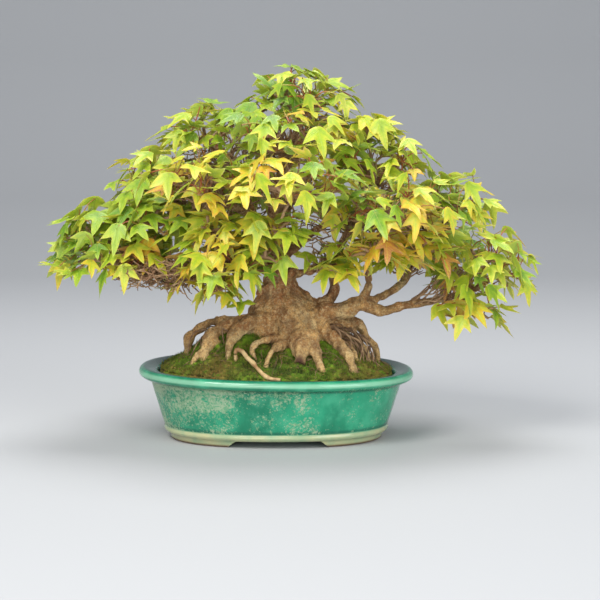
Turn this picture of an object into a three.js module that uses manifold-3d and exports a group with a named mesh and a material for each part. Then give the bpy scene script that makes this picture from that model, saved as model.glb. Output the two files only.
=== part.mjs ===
// A small trident maple bonsai in an oval glazed pot.
// Millimetres, +Z up. The front of the tree faces -Y and +X is to the right.
// The pot is drawn about its own centre, and the whole is moved at the end so that
// the origin is the middle of the bounding box, on the surface that the feet stand on.
import * as THREE from "three";
import { mergeVertices } from "three/addons/utils/BufferGeometryUtils.js";
import Module from "manifold-3d";

const wasm = await Module();
wasm.setup();
const { Manifold, Mesh } = wasm;

// Driving dimensions

const POT = {
  halfWidth: 106.6, // to the outside of the rim
  depthLoss: 24.6, // how much less the half depth is than the half width, outside
  height: 55,
  rimFall: 0.0145, // the rim's slope: fired a little askew, it is lower on the right
  footHalfWidth: 82.5,
  footInner: 72,
  footHeight: 5.4,
  floorTop: 11.5,
  mouthHalfWidth: 93,
  segments: 28,
  squareness: 2.3, // exponent of the oval: 2 is an ellipse
};
const FOOT_ARCH = { x: 2, halfWidthBottom: 38.5, halfWidthTop: 31.5 };
// Ground by hand, the foot bears on spots at these corners of each quarter of the oval,
// and is a hair higher between them.
const FOOT_SPOTS = { corners: [1, 4], rise: 0.045 };
const DRAIN = { x: 40, radius: 7, sides: 12 };
const DRAIN_MESH = { side: 26, thickness: 1, hole: 5, pitch: 7 };
const SEAT_GAP = 0.3; // between touching pieces
const SLIVER = 0.02;
const WOOD_SLIVER = 0.2;
const SOIL = { flatHalfWidth: 88, edgeTop: 48.5, segments: 14 };
const MOSS_EDGE = 91.2;

const LEAF = { thickness: 0.7, shortest: 18, longest: 25.5, petioleWidth: 1.1 };
const DROOP = { least: 6, share: 0.5, spread: 34 }; // of a leaf, in degrees
const GOLDEN_ANGLE = Math.PI * (3 - Math.sqrt(5));
const DEGREE = Math.PI / 180;
const TREE_AXIS = [8, 0]; // where the trunk stands, seen from above

const COLOURS = {
  glaze: new THREE.Color(0.11, 0.42, 0.3),
  bark: new THREE.Color(0.36, 0.25, 0.15),
  paleRoot: new THREE.Color(0.62, 0.52, 0.35),
  moss: new THREE.Color(0.12, 0.2, 0.03),
  soil: new THREE.Color(0.12, 0.08, 0.05),
  drainMesh: new THREE.Color(0.05, 0.05, 0.05),
  leaf_green: new THREE.Color(0.3, 0.5, 0.04),
  leaf_lime: new THREE.Color(0.5, 0.58, 0.06),
  leaf_yellow: new THREE.Color(0.72, 0.58, 0.07),
};

// Solids and meshes

// A closed solid from corner points and triangles.
function solidFrom(points, triangles) {
  return new Manifold(
    new Mesh({
      numProp: 3,
      vertProperties: new Float32Array(points.flat()),
      triVerts: new Uint32Array(triangles.flat()),
    }),
  );
}

// A closed three.js geometry as a solid.
function solidOf(geometry) {
  const bare = geometry.index ? geometry.toNonIndexed() : geometry.clone();
  bare.deleteAttribute("normal");
  bare.deleteAttribute("uv");
  const merged = mergeVertices(bare, 1e-3);
  const index = merged.index.array;
  const triangles = [];
  for (let i = 0; i < index.length; i += 3) {
    const [a, b, c] = [index[i], index[i + 1], index[i + 2]];
    if (a !== b && b !== c && c !== a) triangles.push(a, b, c);
  }
  return new Manifold(
    new Mesh({
      numProp: 3,
      vertProperties: merged.attributes.position.array,
      triVerts: new Uint32Array(triangles),
    }),
  );
}

// The largest connected piece, so that scraps left by a cut are dropped and a hollow
// sealed by joining is filled. Slivers thinner than SLIVER are evened out first.
function largest(solid, sliver = SLIVER) {
  const merged = solidOf(geometryOf(solid.simplify(sliver)));
  return merged.decompose().reduce((a, b) => (a.volume() > b.volume() ? a : b));
}

function geometryOf(solid) {
  const made = solid.getMesh();
  return new THREE.BufferGeometry()
    .setAttribute("position", new THREE.BufferAttribute(made.vertProperties, 3))
    .setIndex(new THREE.BufferAttribute(made.triVerts, 1));
}

function meshOf(name, solid, colour, roughness) {
  const geometry = geometryOf(solid);
  geometry.computeVertexNormals();
  const material = new THREE.MeshStandardMaterial({ color: COLOURS[colour], roughness });
  const mesh = new THREE.Mesh(geometry, material);
  mesh.name = name;
  return mesh;
}

// Evenly spread numbers from 0 to 1, the same for the same seed.
function seeded(seed) {
  let state = seed >>> 0;
  return () => {
    state = (state + 0x6d2b79f5) >>> 0;
    let t = Math.imul(state ^ (state >>> 15), state | 1);
    t ^= t + Math.imul(t ^ (t >>> 7), t | 61);
    return ((t ^ (t >>> 14)) >>> 0) / 4294967296;
  };
}

// Vectors

const add = (a, b) => [a[0] + b[0], a[1] + b[1], a[2] + b[2]];
const sub = (a, b) => [a[0] - b[0], a[1] - b[1], a[2] - b[2]];
const scale = (a, k) => [a[0] * k, a[1] * k, a[2] * k];
const dot = (a, b) => a[0] * b[0] + a[1] * b[1] + a[2] * b[2];
const length = (a) => Math.hypot(a[0], a[1], a[2]);
const unit = (a) => scale(a, 1 / length(a));
const mix = (a, b, t) => add(scale(a, 1 - t), scale(b, t));
const cross = (a, b) => [
  a[1] * b[2] - a[2] * b[1],
  a[2] * b[0] - a[0] * b[2],
  a[0] * b[1] - a[1] * b[0],
];

// Pot, soil and moss

// The half depth of the pot's oval where its half width is r. Outside the foot ring
// the two differ by a fixed amount, and inside it they keep one ratio.
function halfDepth(r) {
  return r * (1 - POT.depthLoss / Math.max(r, POT.footInner));
}

// A lathe-turned profile of [half width, height] pairs, squeezed into the pot's oval.
// rise lifts points that it is given by their half width, height and turn.
function oval(profile, segments, rise = () => 0) {
  const points = profile.map(([r, z]) => new THREE.Vector2(r, z));
  const geometry = new THREE.LatheGeometry(points, segments).rotateX(Math.PI / 2);
  const position = geometry.getAttribute("position");
  const stretch = (c) => Math.sign(c) * Math.abs(c) ** (2 / POT.squareness);
  for (let i = 0; i < position.count; i++) {
    const [x, y] = [position.getX(i), position.getY(i)];
    const z = position.getZ(i);
    const r = Math.hypot(x, y);
    if (r < 1e-6) continue;
    const wide = r * stretch(x / r);
    position.setX(i, wide);
    position.setY(i, halfDepth(r) * stretch(y / r));
    const fall = POT.rimFall * wide * Math.min(Math.max((z - 20) / 30, 0), 1);
    position.setZ(i, z - fall + rise(r, z, Math.atan2(y, x)));
  }
  const solid = solidOf(geometry);
  return solid.volume() > 0 ? solid : solidOf(flipped(geometry));
}

function flipped(geometry) {
  const bare = geometry.toNonIndexed();
  const array = bare.getAttribute("position").array;
  for (let i = 0; i < array.length; i += 9)
    for (let k = 0; k < 3; k++)
      [array[i + 3 + k], array[i + 6 + k]] = [array[i + 6 + k], array[i + 3 + k]];
  return bare;
}

function extruded(outline, depth) {
  const shape = new THREE.Shape(outline.map(([x, y]) => new THREE.Vector2(x, y)));
  return new THREE.ExtrudeGeometry(shape, { depth, bevelEnabled: false });
}

// How much higher the foot's underside is at a point than at the spots it stands on.
function footRise(r, z, turn) {
  if (Math.abs(z) > SLIVER) return 0;
  const corner = Math.round((Math.acos(Math.abs(Math.cos(turn))) / (2 * Math.PI)) * POT.segments);
  const outer = r > POT.footHalfWidth - 1;
  return outer && FOOT_SPOTS.corners.includes(corner) ? 0 : FOOT_SPOTS.rise;
}

function pot() {
  const { halfWidth, height, footHalfWidth, footInner, footHeight, floorTop } = POT;
  const body = oval(
    [
      [0, footHeight + 0.6],
      [footInner - 1, footHeight + 0.6],
      [footInner, 0],
      [footHalfWidth, 0],
      [footHalfWidth + 1, footHeight - 0.6],
      [footHalfWidth + 4, footHeight + 1.4],
      [footHalfWidth + 3.6, footHeight + 4.6],
      [footHalfWidth + 7, 20],
      [footHalfWidth + 11.5, 33],
      [footHalfWidth + 14, 42.5],
      [halfWidth - 3.4, height - 8],
      [halfWidth, height - 4.4],
      [halfWidth - 2, height - 0.7],
      [halfWidth - 5, height],
      [POT.mouthHalfWidth, height - 1.6],
      [POT.mouthHalfWidth - 1.5, height - 6],
      [footHalfWidth, 16],
      [footHalfWidth - 6, floorTop],
      [0, floorTop],
    ],
    POT.segments,
    footRise,
  );
  const { halfWidthBottom: low, halfWidthTop: high } = FOOT_ARCH;
  const arch = solidOf(
    extruded([[-low, -1], [low, -1], [high, footHeight], [-high, footHeight]], 200)
      .rotateX(Math.PI / 2)
      .translate(FOOT_ARCH.x, 100, 0),
  );
  const drain = (x) =>
    solidOf(
      new THREE.CylinderGeometry(DRAIN.radius, DRAIN.radius, 20, DRAIN.sides)
        .rotateX(Math.PI / 2)
        .translate(x, 0, 8),
    );
  return body.subtract(Manifold.union([arch, drain(-DRAIN.x), drain(DRAIN.x)]));
}

// A square of plastic mesh that keeps the soil from falling through a drain hole.
function drainMesh(x) {
  const { side, thickness, hole, pitch } = DRAIN_MESH;
  const box = (width, tall, dx, dy) =>
    solidOf(new THREE.BoxGeometry(width, width, tall).translate(x + dx, dy, 0));
  const holes = [];
  for (const i of [-0.5, 0.5])
    for (const j of [-0.5, 0.5]) holes.push(box(hole, 9, i * pitch, j * pitch));
  return box(side, thickness, 0, 0)
    .subtract(Manifold.union(holes))
    .translate([0, 0, POT.floorTop + SEAT_GAP + thickness / 2]);
}

// Soil fills the pot from above the drainage squares and rises to a core under the moss.
function soil() {
  const bottom = POT.floorTop + 2 * SEAT_GAP + DRAIN_MESH.thickness;
  return oval(
    [
      [0, bottom],
      [POT.footHalfWidth - 6.5, bottom],
      [POT.footHalfWidth - 1, bottom + 4],
      [SOIL.flatHalfWidth + 1.5, SOIL.edgeTop - 1],
      [SOIL.flatHalfWidth, SOIL.edgeTop],
      [52, 63],
      [28, 74],
      [0, 76],
    ],
    SOIL.segments,
  );
}

function moss() {
  return oval(
    [
      [0, 76 + SEAT_GAP],
      [28, 74 + SEAT_GAP],
      [52, 63 + SEAT_GAP],
      [SOIL.flatHalfWidth, SOIL.edgeTop + SEAT_GAP],
      [MOSS_EDGE - 0.6, SOIL.edgeTop + 1.5],
      [MOSS_EDGE - 0.5, SOIL.edgeTop + 3],
      [84, 55.8],
      [72, 62.5],
      [56, 69.5],
      [36, 79],
      [0, 83],
    ],
    SOIL.segments,
  );
}

// Trunk, roots and boughs

// The trunk as level rings: [x, y, z, half width, half depth].
const TRUNK = [
  [8, 0, 57, 33, 24],
  [9, 0, 72, 37, 28],
  [9, 0, 86, 34.5, 27.5],
  [8, 0, 97, 28.5, 24],
  [6, 0, 106, 21.5, 19],
  [4, 0, 115, 15, 14],
  [3, 0, 124, 11.5, 11],
  [2, 0, 135, 8.4, 8.6],
  [0, 0, 147, 8, 8],
  [-2, 1, 162, 6.4, 6.4],
  [0, 2, 188, 4.6, 4.6],
  [7, 2, 214, 3.6, 3.6],
  [16, 1, 240, 2.6, 2.6],
  [19, 0, 258, 1.8, 1.8],
];

// Each root runs from inside the trunk to where it enters the moss: [x, y, z, radius].
const ROOTS = [
  // front and sides, as the front view shows them
  [
    [-22, -2, 88, 7], [-46, -4, 90.5, 3.6], [-61, -5, 84, 3.4], [-67.5, -6, 78, 4.2],
    [-68.5, -8, 70, 3.2], [-70, -10, 58, 2],
  ],
  [
    [-16, -8, 88, 8], [-34, -12, 90, 5.5], [-47, -17, 83, 5], [-53, -23, 75, 5.6],
    [-54, -30, 67, 3.6], [-55, -35, 58, 2],
  ],
  [
    [-10, -12, 92, 9], [-23, -20, 90, 5.6], [-32.5, -24, 82.5, 4.8], [-36, -31, 75, 3.6],
    [-37, -38, 65, 2],
  ],
  [[-28, -14, 80, 4], [-55, -25, 70, 3], [-61.5, -31, 65, 2.6], [-64, -36, 56, 1.6]],
  [
    [2, -22, 80, 6], [-6, -32, 79.5, 3], [-15, -36, 77, 2.4], [-19, -39, 73, 2],
    [-15, -46, 67, 1.4], [-15, -50, 59, 1],
  ],
  [[6, -28, 76, 5], [-1, -41, 73, 2.4], [-6, -46, 66, 1.6]],
  [[14, -14, 88, 13], [19, -31, 79, 8.6], [19, -42, 71, 6.4], [18, -47, 63, 5]],
  [[18, -14, 88, 9], [28, -31, 78, 5], [32, -41, 69, 4], [35, -47, 59, 3]],
  [[28, -6, 86, 9], [40, -14, 82, 5.2], [50, -24, 73, 4.4], [56, -34, 65.5, 4.2], [59, -41, 57, 3.4]],
  [[34, -4, 86, 6], [51, -9, 80, 2.6], [59, -19, 70, 2.2], [64, -28, 58, 1.4]],
  [[36, 0, 88, 7], [56, 1, 87, 3], [65, -4, 75, 2.6], [71, -12, 63, 2], [74, -15, 54, 1.4]],
  [
    [36, 4, 88, 7], [52, 6, 90.5, 3.4], [65, 6, 87, 3.6], [70, 5, 77, 3], [77, 3, 68.5, 3.2],
    [79, 2, 55, 2],
  ],
  // the back, as such roots spread
  [[30, 10, 86, 8], [46, 19, 82, 5], [59, 28, 70, 4.4], [65, 34, 58, 3]],
  [[20, 14, 86, 9], [29, 30, 80, 6], [36, 42, 69, 5], [40, 50, 57, 3]],
  [[6, 16, 86, 10], [7, 33, 79, 6], [4, 46, 68, 5], [3, 53, 56, 3]],
  [[-10, 14, 86, 9], [-21, 29, 80, 5.4], [-29, 41, 69, 4.6], [-32, 48, 58, 3]],
  [[-18, 8, 86, 8], [-38, 17, 82, 5], [-51, 26, 72, 4.4], [-58, 32, 60, 2.6]],
];

// A pale surface root that arches out of the moss in front and lies towards the rim.
const PALE_ROOT = [
  [-30.6, -41.5, 62, 1.1],
  [-30.4, -40.5, 72.5, 1.5],
  [-26.5, -42, 72.5, 1.6],
  [-21.5, -48.5, 68.2, 1.5],
  [-15.3, -55, 63, 1.6],
  [-10.8, -60.5, 58.6, 1.4],
  [-5, -64.2, 55.2, 1.3],
  [4, -66, 54, 1.1],
];

// Each bough: its wood from inside the trunk to its hub, as [x, y, z, radius], and the
// rounded pad of foliage round that hub. The pad's leafy twigs all start at the hub.
// lowest is how far the leaves go down the pad's side: -1 is its underside, 0 its equator.
const BOUGHS = [
  {
    name: "left_low", colour: "leaf_lime", sprays: 4, leaves: 27, lowest: -0.35,
    wood: [
      [0, -1, 133, 6], [-21, -7, 137, 5], [-51.5, -13, 131, 4.2], [-84, -17, 131, 3.4],
      [-115, -18, 129, 2.6],
    ],
    centre: [-125, -18, 138], radii: [50, 46, 27],
  },
  {
    name: "left_middle", colour: "leaf_lime", sprays: 3, leaves: 18, lowest: -0.1,
    wood: [
      [-2, 0, 156, 5], [-26, 0, 166, 4], [-57, 2, 177, 3.2], [-87, 3, 181, 2.5],
    ],
    centre: [-89, 2, 188], radii: [40, 46, 37],
  },
  {
    name: "left_upper", colour: "leaf_green", sprays: 3, leaves: 17, lowest: 0,
    wood: [
      [0, 0, 148, 6], [-12, -4, 158, 4.8], [-18.5, -6, 176, 4], [-30, -6, 198, 3.2],
      [-43, -3, 214, 2.5],
    ],
    centre: [-45, -2, 225], radii: [44, 46, 34],
  },
  {
    name: "top", colour: "leaf_green", sprays: 3, leaves: 17, lowest: 0.05,
    wood: [
      [14, 1, 232, 2.8], [18.5, 0, 246, 2.6], [21, 2, 256, 2.4],
    ],
    centre: [20, 2, 250], radii: [46, 44, 34],
  },
  {
    name: "top_front", colour: "leaf_lime", sprays: 3, leaves: 16, lowest: -0.1,
    wood: [
      [3, 1, 204, 4], [4.5, -14, 215, 3], [7, -32, 224, 2.4],
    ],
    centre: [7, -42, 226], radii: [50, 36, 30],
  },
  {
    name: "top_back", colour: "leaf_green", sprays: 2, leaves: 12, lowest: -0.1,
    wood: [
      [6, 2, 208, 4], [10.5, 20, 215, 3], [12, 38, 220, 2.4],
    ],
    centre: [11, 46, 220], radii: [48, 36, 31],
  },
  {
    name: "right_upper", colour: "leaf_lime", sprays: 3, leaves: 17, lowest: -0.05,
    wood: [
      [30, 6, 96, 9], [41.5, 8, 107, 5.4], [45.5, 10, 118, 4.4], [44.5, 12, 132, 3.8],
      [53, 10, 152, 3.2], [67.5, 6, 180, 2.8], [77, 2, 195, 2.4],
    ],
    centre: [79, 0, 202], radii: [44, 46, 33],
  },
  {
    name: "right_middle", colour: "leaf_green", sprays: 3, leaves: 18, lowest: -0.1,
    wood: [
      [66, -12, 107, 4.6], [71, -12, 118, 3.4], [71.5, -12, 134, 3], [80, -9, 150, 2.8],
      [103.5, -4, 162, 2.6], [121, -2, 166, 2.4],
    ],
    centre: [128, -2, 169], radii: [43, 46, 34],
  },
  {
    name: "right_low", colour: "leaf_green", sprays: 4, leaves: 20, lowest: -0.45,
    wood: [
      [22, -6, 90, 15], [40.5, -11, 98, 8.6], [56, -12, 101, 6.4], [66.5, -12, 105, 5.4],
      [82.5, -13, 99.5, 4], [99, -14, 104, 3.4], [122.5, -15, 108, 2.9], [147, -15, 114, 2.4],
    ],
    centre: [161, -14, 126], radii: [38, 42, 34],
  },
  {
    name: "right_back", colour: "leaf_green", sprays: 3, leaves: 16, lowest: -0.15,
    wood: [
      [68, -12, 105, 4.8], [77, -4, 107.5, 3.8], [88.5, 8, 112, 3.2], [102, 22, 120, 2.8],
      [109, 40, 131.5, 2.4],
    ],
    centre: [109, 50, 140.5], radii: [52, 42, 34],
  },
  {
    name: "low_front_right", colour: "leaf_green", sprays: 1, leaves: 5, lowest: 0.1,
    wood: [
      [3, -2, 126, 5], [17, -5, 128.5, 3.6], [30, -14, 132.5, 2.9], [39, -30, 139, 2.4],
    ],
    centre: [43, -46, 138], radii: [22, 17, 12],
  },
  {
    name: "right_front", colour: "leaf_yellow", sprays: 3, leaves: 18, lowest: -0.2,
    wood: [
      [1, 0, 141, 6], [15.5, -4, 148.5, 4], [27, -9, 159, 3.5], [42, -20, 169, 3],
      [63.5, -42, 170.5, 2.6], [81, -54, 169, 2.4],
    ],
    centre: [87, -62, 171], radii: [48, 38, 31],
  },
  {
    name: "front", colour: "leaf_yellow", sprays: 4, leaves: 20, lowest: -0.25,
    wood: [
      [0, -1, 152, 5], [5, -24, 167, 3.8], [10, -50, 182.5, 3], [12, -68, 189.5, 2.5],
    ],
    centre: [13, -76, 193.5], radii: [52, 36, 34],
  },
  {
    name: "left_front_upper", colour: "leaf_green", sprays: 3, leaves: 17, lowest: -0.25,
    wood: [
      [-2, 0, 160, 5], [-16, -20, 173, 3.6], [-36, -42, 184, 2.9], [-53, -56, 189, 2.4],
    ],
    centre: [-57, -60, 193], radii: [42, 36, 34],
  },
  {
    name: "left_front_low", colour: "leaf_yellow", sprays: 4, leaves: 20, lowest: -0.5,
    wood: [
      [1, -3, 128, 6], [-13, -22, 135, 4], [-29, -42, 139, 3], [-38, -56, 139, 2.5],
    ],
    centre: [-40, -62, 138], radii: [37, 32, 30],
  },
  {
    name: "left_back", colour: "leaf_lime", sprays: 3, leaves: 17, lowest: -0.2,
    wood: [
      [-1, 3, 150, 5], [-23, 22, 153, 3.8], [-52, 46, 156, 3], [-79, 60, 157, 2.5],
    ],
    centre: [-83, 64, 162], radii: [50, 40, 37],
  },
  {
    name: "back", colour: "leaf_lime", sprays: 3, leaves: 17, lowest: -0.25,
    wood: [
      [0, 3, 156, 5], [2, 28, 166.5, 3.8], [3, 56, 173.5, 3], [4, 76, 174, 2.5],
    ],
    centre: [5, 82, 177], radii: [50, 36, 40],
  },
];

// A tapering limb with flat ends through [x, y, z, radius] points, grown by extra.
function limb(points, sides, extra = 0) {
  const place = (p) => [p[0], p[1], p[2]];
  const last = points.length - 1;
  const corners = [];
  let across = [0, 0, 0];
  points.forEach((p, i) => {
    const before = place(points[Math.max(i - 1, 0)]);
    const after = place(points[Math.min(i + 1, last)]);
    const along = unit(sub(after, before));
    if (i === 0) across = Math.abs(along[2]) > 0.9 ? [1, 0, 0] : [0, 0, 1];
    across = unit(sub(across, scale(along, dot(across, along))));
    const third = cross(along, across);
    const reach = i === 0 ? -extra : i === last ? extra : 0;
    const middle = add(place(p), scale(along, reach));
    for (let k = 0; k < sides; k++) {
      const turn = (k / sides) * 2 * Math.PI;
      const spoke = add(scale(across, Math.cos(turn)), scale(third, Math.sin(turn)));
      corners.push(add(middle, scale(spoke, p[3] + extra)));
    }
  });
  return solidFrom(corners, skin(points.length, sides));
}

// Triangles round a stack of rings, with a fan closing each end.
function skin(rings, sides) {
  const triangles = [];
  for (let i = 0; i < rings - 1; i++)
    for (let k = 0; k < sides; k++) {
      const [a, b] = [i * sides + k, i * sides + ((k + 1) % sides)];
      triangles.push([a, b, b + sides], [a, b + sides, a + sides]);
    }
  const top = (rings - 1) * sides;
  for (let k = 1; k < sides - 1; k++)
    triangles.push([0, k + 1, k], [top, top + k, top + k + 1]);
  return triangles;
}

function trunk(extra) {
  const sides = 12;
  const corners = TRUNK.flatMap(([x, y, z, wide, deep]) =>
    Array.from({ length: sides }, (_, k) => {
      const turn = (k / sides) * 2 * Math.PI;
      return [
        x + (wide + extra) * Math.cos(turn),
        y + (deep + extra) * Math.sin(turn),
        z === TRUNK[0][2] ? z - extra : z,
      ];
    }),
  );
  return solidFrom(corners, skin(TRUNK.length, sides));
}

// What stands in the soil: the foot of the trunk and every root.
function rootstock(extra) {
  return Manifold.union([trunk(extra), ...ROOTS.map((r) => limb(r, 5, extra))]);
}

function wood(extra) {
  const boughs = BOUGHS.map((b) => limb(b.wood, 5, extra));
  return Manifold.union([rootstock(extra), ...boughs, ...stubs(extra)]);
}

// Leaves

// A blade of three lobes on its petiole, flat-sided and of even thickness.
// base is where the blade starts, along its midrib, up its upper face, root the
// petiole's start inside the twig.
function leaf({ base, along, up, size, root }, grow = 0) {
  const left = cross(up, along);
  const at = (u, v, w) =>
    add(base, add(scale(along, u * size), add(scale(left, v * size), scale(up, w * size))));
  const half = LEAF.petioleWidth / 2 / size;
  const stalk = unit(sub(base, root));
  const stalkLeft = unit(sub(left, scale(stalk, dot(left, stalk))));
  const stalkUp = cross(stalk, stalkLeft);
  const [wide, deep] = PETIOLE.rootHalf;
  const side = scale(stalkLeft, wide);
  const upper = [
    sub(root, side),
    at(0, -half, 0),
    at(0.36, -0.5, -0.1),
    at(0.45, -0.19, 0.03),
    at(1, 0, -0.14),
    at(0.45, 0.19, 0.03),
    at(0.36, 0.5, -0.1),
    at(0, half, 0),
    add(root, side),
  ];
  const count = upper.length;
  const atRoot = (i) => i === 0 || i === count - 1;
  const shift = (p, i, rooted, free) => add(p, atRoot(i) ? scale(stalkUp, rooted) : scale(up, free));
  const raised = upper.map((p, i) => shift(p, i, deep + grow, grow));
  const lower = upper.map((p, i) => shift(p, i, -deep - grow, -LEAF.thickness - grow));
  const face = [[0, 1, 7], [0, 7, 8], [1, 2, 3], [1, 3, 4], [1, 4, 7], [7, 4, 5], [7, 5, 6]];
  const triangles = [];
  for (const [a, b, c] of face) triangles.push([a, b, c], [a + count, c + count, b + count]);
  for (let i = 0; i < count; i++) {
    const j = (i + 1) % count;
    triangles.push([i, i + count, j + count], [i, j + count, j]);
  }
  return solidFrom([...raised, ...lower], triangles);
}

// A point on a rounded pad, and the pad's outward direction there. Points 0 to
// count - 1 wind down from the top by the golden angle, so they spread evenly.
function padPoint({ centre, radii, lowest }, i, count, phase, share = 1) {
  const level = 1 - ((1 - lowest) * (i + 0.5)) / count;
  const ring = Math.sqrt(1 - level * level);
  const turn = i * GOLDEN_ANGLE + phase;
  const way = [ring * Math.cos(turn), ring * Math.sin(turn), level];
  const place = add(centre, [
    way[0] * radii[0] * share,
    way[1] * radii[1] * share,
    way[2] * radii[2] * share,
  ]);
  const outward = unit([way[0] / radii[0], way[1] / radii[1], way[2] / radii[2]]);
  return { place, outward };
}

// How deep a point lies in a pad: 1 on its surface, less inside.
function depthIn({ centre, radii }, p) {
  return Math.hypot(...[0, 1, 2].map((k) => (p[k] - centre[k]) / radii[k]));
}

const BURIED = 0.9; // a leaf deeper than this in another pad is left out
const PETIOLE = { shortest: 4, longest: 34, leastAhead: 0.1, rootHalf: [0.3, 0.25] };
const STUB = { radii: [2.4, 2.1], sides: 3 };
const TWIG = { perSpray: 2, radii: [2, 1.8, 1.2], sideRadii: [0.8, 1.2], sides: 3 };

// The hub of a bough, and the point from which one spray's twigs fan out.
function sprayFork(bough, k) {
  const hub = bough.wood[bough.wood.length - 1].slice(0, 3);
  const anchor = padPoint(bough, k, bough.sprays, BOUGHS.indexOf(bough), 0.62).place;
  return [hub, add(mix(hub, anchor, 0.5), [0, 0, 0.06 * length(sub(anchor, hub))])];
}

// The tips of all the bough's twigs, spread evenly under the skin of its pad.
function twigTips(bough) {
  const count = bough.sprays * TWIG.perSpray;
  const phase = BOUGHS.indexOf(bough) + 1;
  return Array.from({ length: count }, (_, i) => padPoint(bough, i, count, phase, 0.7).place);
}

// The wood between a bough's hub and the fork of every leafy spray.
function stubs(extra) {
  return BOUGHS.flatMap((bough) =>
    Array.from({ length: bough.sprays }, (_, k) => {
      const [hub, fork] = sprayFork(bough, k);
      return limb([[...hub, STUB.radii[0]], [...fork, STUB.radii[1]]], STUB.sides, extra);
    }),
  );
}

// Where the blade of one leaf sits and how it hangs, before it is bent clear. The leaf
// points away from the tip of its twig, and leans outwards from the trunk.
function leafPlan(bough, i, tips) {
  const boughIndex = BOUGHS.indexOf(bough);
  const random = seeded(1000 * (boughIndex + 1) + i);
  const { place, outward } = padPoint(bough, i, bough.leaves, boughIndex);
  const size = LEAF.shortest + (LEAF.longest - LEAF.shortest) * random();
  const distance = (tip) => length(sub(tip, place));
  const tip = tips.reduce((a, b) => (distance(a) <= distance(b) ? a : b));
  const away = unit([place[0] - TREE_AXIS[0], place[1] - TREE_AXIS[1], 0]);
  const fromTip = [place[0] - tip[0], place[1] - tip[1], 0];
  const heading = add(scale(away, 0.6), scale(fromTip, 1 / (length(fromTip) + 4)));
  const yaw = Math.atan2(heading[1], heading[0]) + (random() - 0.5) * 70 * DEGREE;
  const steep = Math.acos(outward[2]);
  const swing = (random() - 0.5) * DROOP.spread * DEGREE;
  const droop = Math.max(DROOP.least * DEGREE, DROOP.share * steep) + swing;
  const roll = (random() - 0.5) * 44 * DEGREE;
  const level = [Math.cos(yaw), Math.sin(yaw), 0];
  const along = add(scale(level, Math.cos(droop)), [0, 0, -Math.sin(droop)]);
  const flatUp = add(scale(level, Math.sin(droop)), [0, 0, Math.cos(droop)]);
  const left = cross(flatUp, along);
  const up = add(scale(flatUp, Math.cos(roll)), scale(left, Math.sin(roll)));
  const lift = (random() - 0.5) * 12;
  const base = add(sub(place, scale(along, 0.4 * size)), scale(outward, lift));
  return { base, along, up, size, place, nearest: tips.indexOf(tip) };
}

// The leaf turned about its base, first sideways in its own plane and then upwards.
function bent({ base, along, up, size }, [sideways, upwards]) {
  const left = cross(up, along);
  const ahead = add(scale(along, Math.cos(sideways)), scale(left, Math.sin(sideways)));
  return {
    base,
    size,
    along: add(scale(ahead, Math.cos(upwards)), scale(up, Math.sin(upwards))),
    up: sub(scale(up, Math.cos(upwards)), scale(ahead, Math.sin(upwards))),
  };
}

// The spot on a twig from which the petiole is shortest, among those behind the blade.
// The spots of successive leaves are staggered, so that petioles don't share one.
function petioleRoot([low, tip], { base, along }, index) {
  const stagger = (index * 0.618) % 1;
  let best = null;
  for (const t of [0.2, 0.36, 0.52, 0.68, 0.84]) {
    const spot = mix(low, tip, t + 0.14 * stagger);
    const stalk = sub(base, spot);
    const reach = length(stalk);
    if (reach < PETIOLE.shortest || reach > PETIOLE.longest) continue;
    if (dot(stalk, along) < PETIOLE.leastAhead * reach) continue;
    if (!best || reach < length(sub(base, best))) best = spot;
  }
  return best;
}

// Turns tried in order until a leaf hangs clear of everything round it.
const TURNS = [
  [0, 0],
  [0, 14],
  [0, -14],
  [26, 5],
  [-26, 5],
  [0, 28],
  [44, 16],
  [-44, 16],
  [0, -26],
  [30, -20],
  [-30, -20],
].map((pair) => pair.map((angle) => angle * DEGREE));
const CLEARANCE = 0.3;
const ROOTED_VOLUME = 0.1; // of a petiole inside its twig

function boxesMeet(a, b) {
  const [p, q] = [a.boundingBox(), b.boundingBox()];
  return [0, 1, 2].every((k) => p.min[k] <= q.max[k] && q.min[k] <= p.max[k]);
}

const touches = (a, b) => boxesMeet(a, b) && a.intersect(b).volume() > 0;

// A fan of twigs that starts face to face with its stub: a main twig to the first tip
// and side twigs to the rest, without those that would run into something.
function twigFan([hub, fork], tips, made, tree) {
  const ahead = unit(sub(fork, hub));
  const start = add(fork, scale(ahead, SEAT_GAP + 0.05));
  const knee = add(fork, scale(ahead, 3));
  const ends = tips.length ? tips : [add(fork, scale(ahead, 16))];
  const [main, ...rest] = ends.sort((a, b) => length(sub(b, fork)) - length(sub(a, fork)));
  const line = [start, knee, main].map((p, i) => [...p, TWIG.radii[i]]);
  const free = (twig) => !touches(twig, tree) && !made.some((s) => touches(twig, s.twig));
  const side = rest.map((tip, i) => {
    const root = mix(knee, main, 0.12 + 0.22 * i);
    const twig = [root, tip].map((p, k) => [...p, TWIG.sideRadii[k]]);
    return { tip, root, twig: limb(twig, TWIG.sides) };
  });
  const kept = side.filter(({ twig }) => free(twig));
  const stem = limb(line, TWIG.sides);
  if (!free(stem)) return null;
  return {
    twig: Manifold.union([stem, ...kept.map(({ twig }) => twig)]),
    axes: [[knee, main], ...kept.map(({ root, tip }) => [root, tip])],
  };
}

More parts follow.
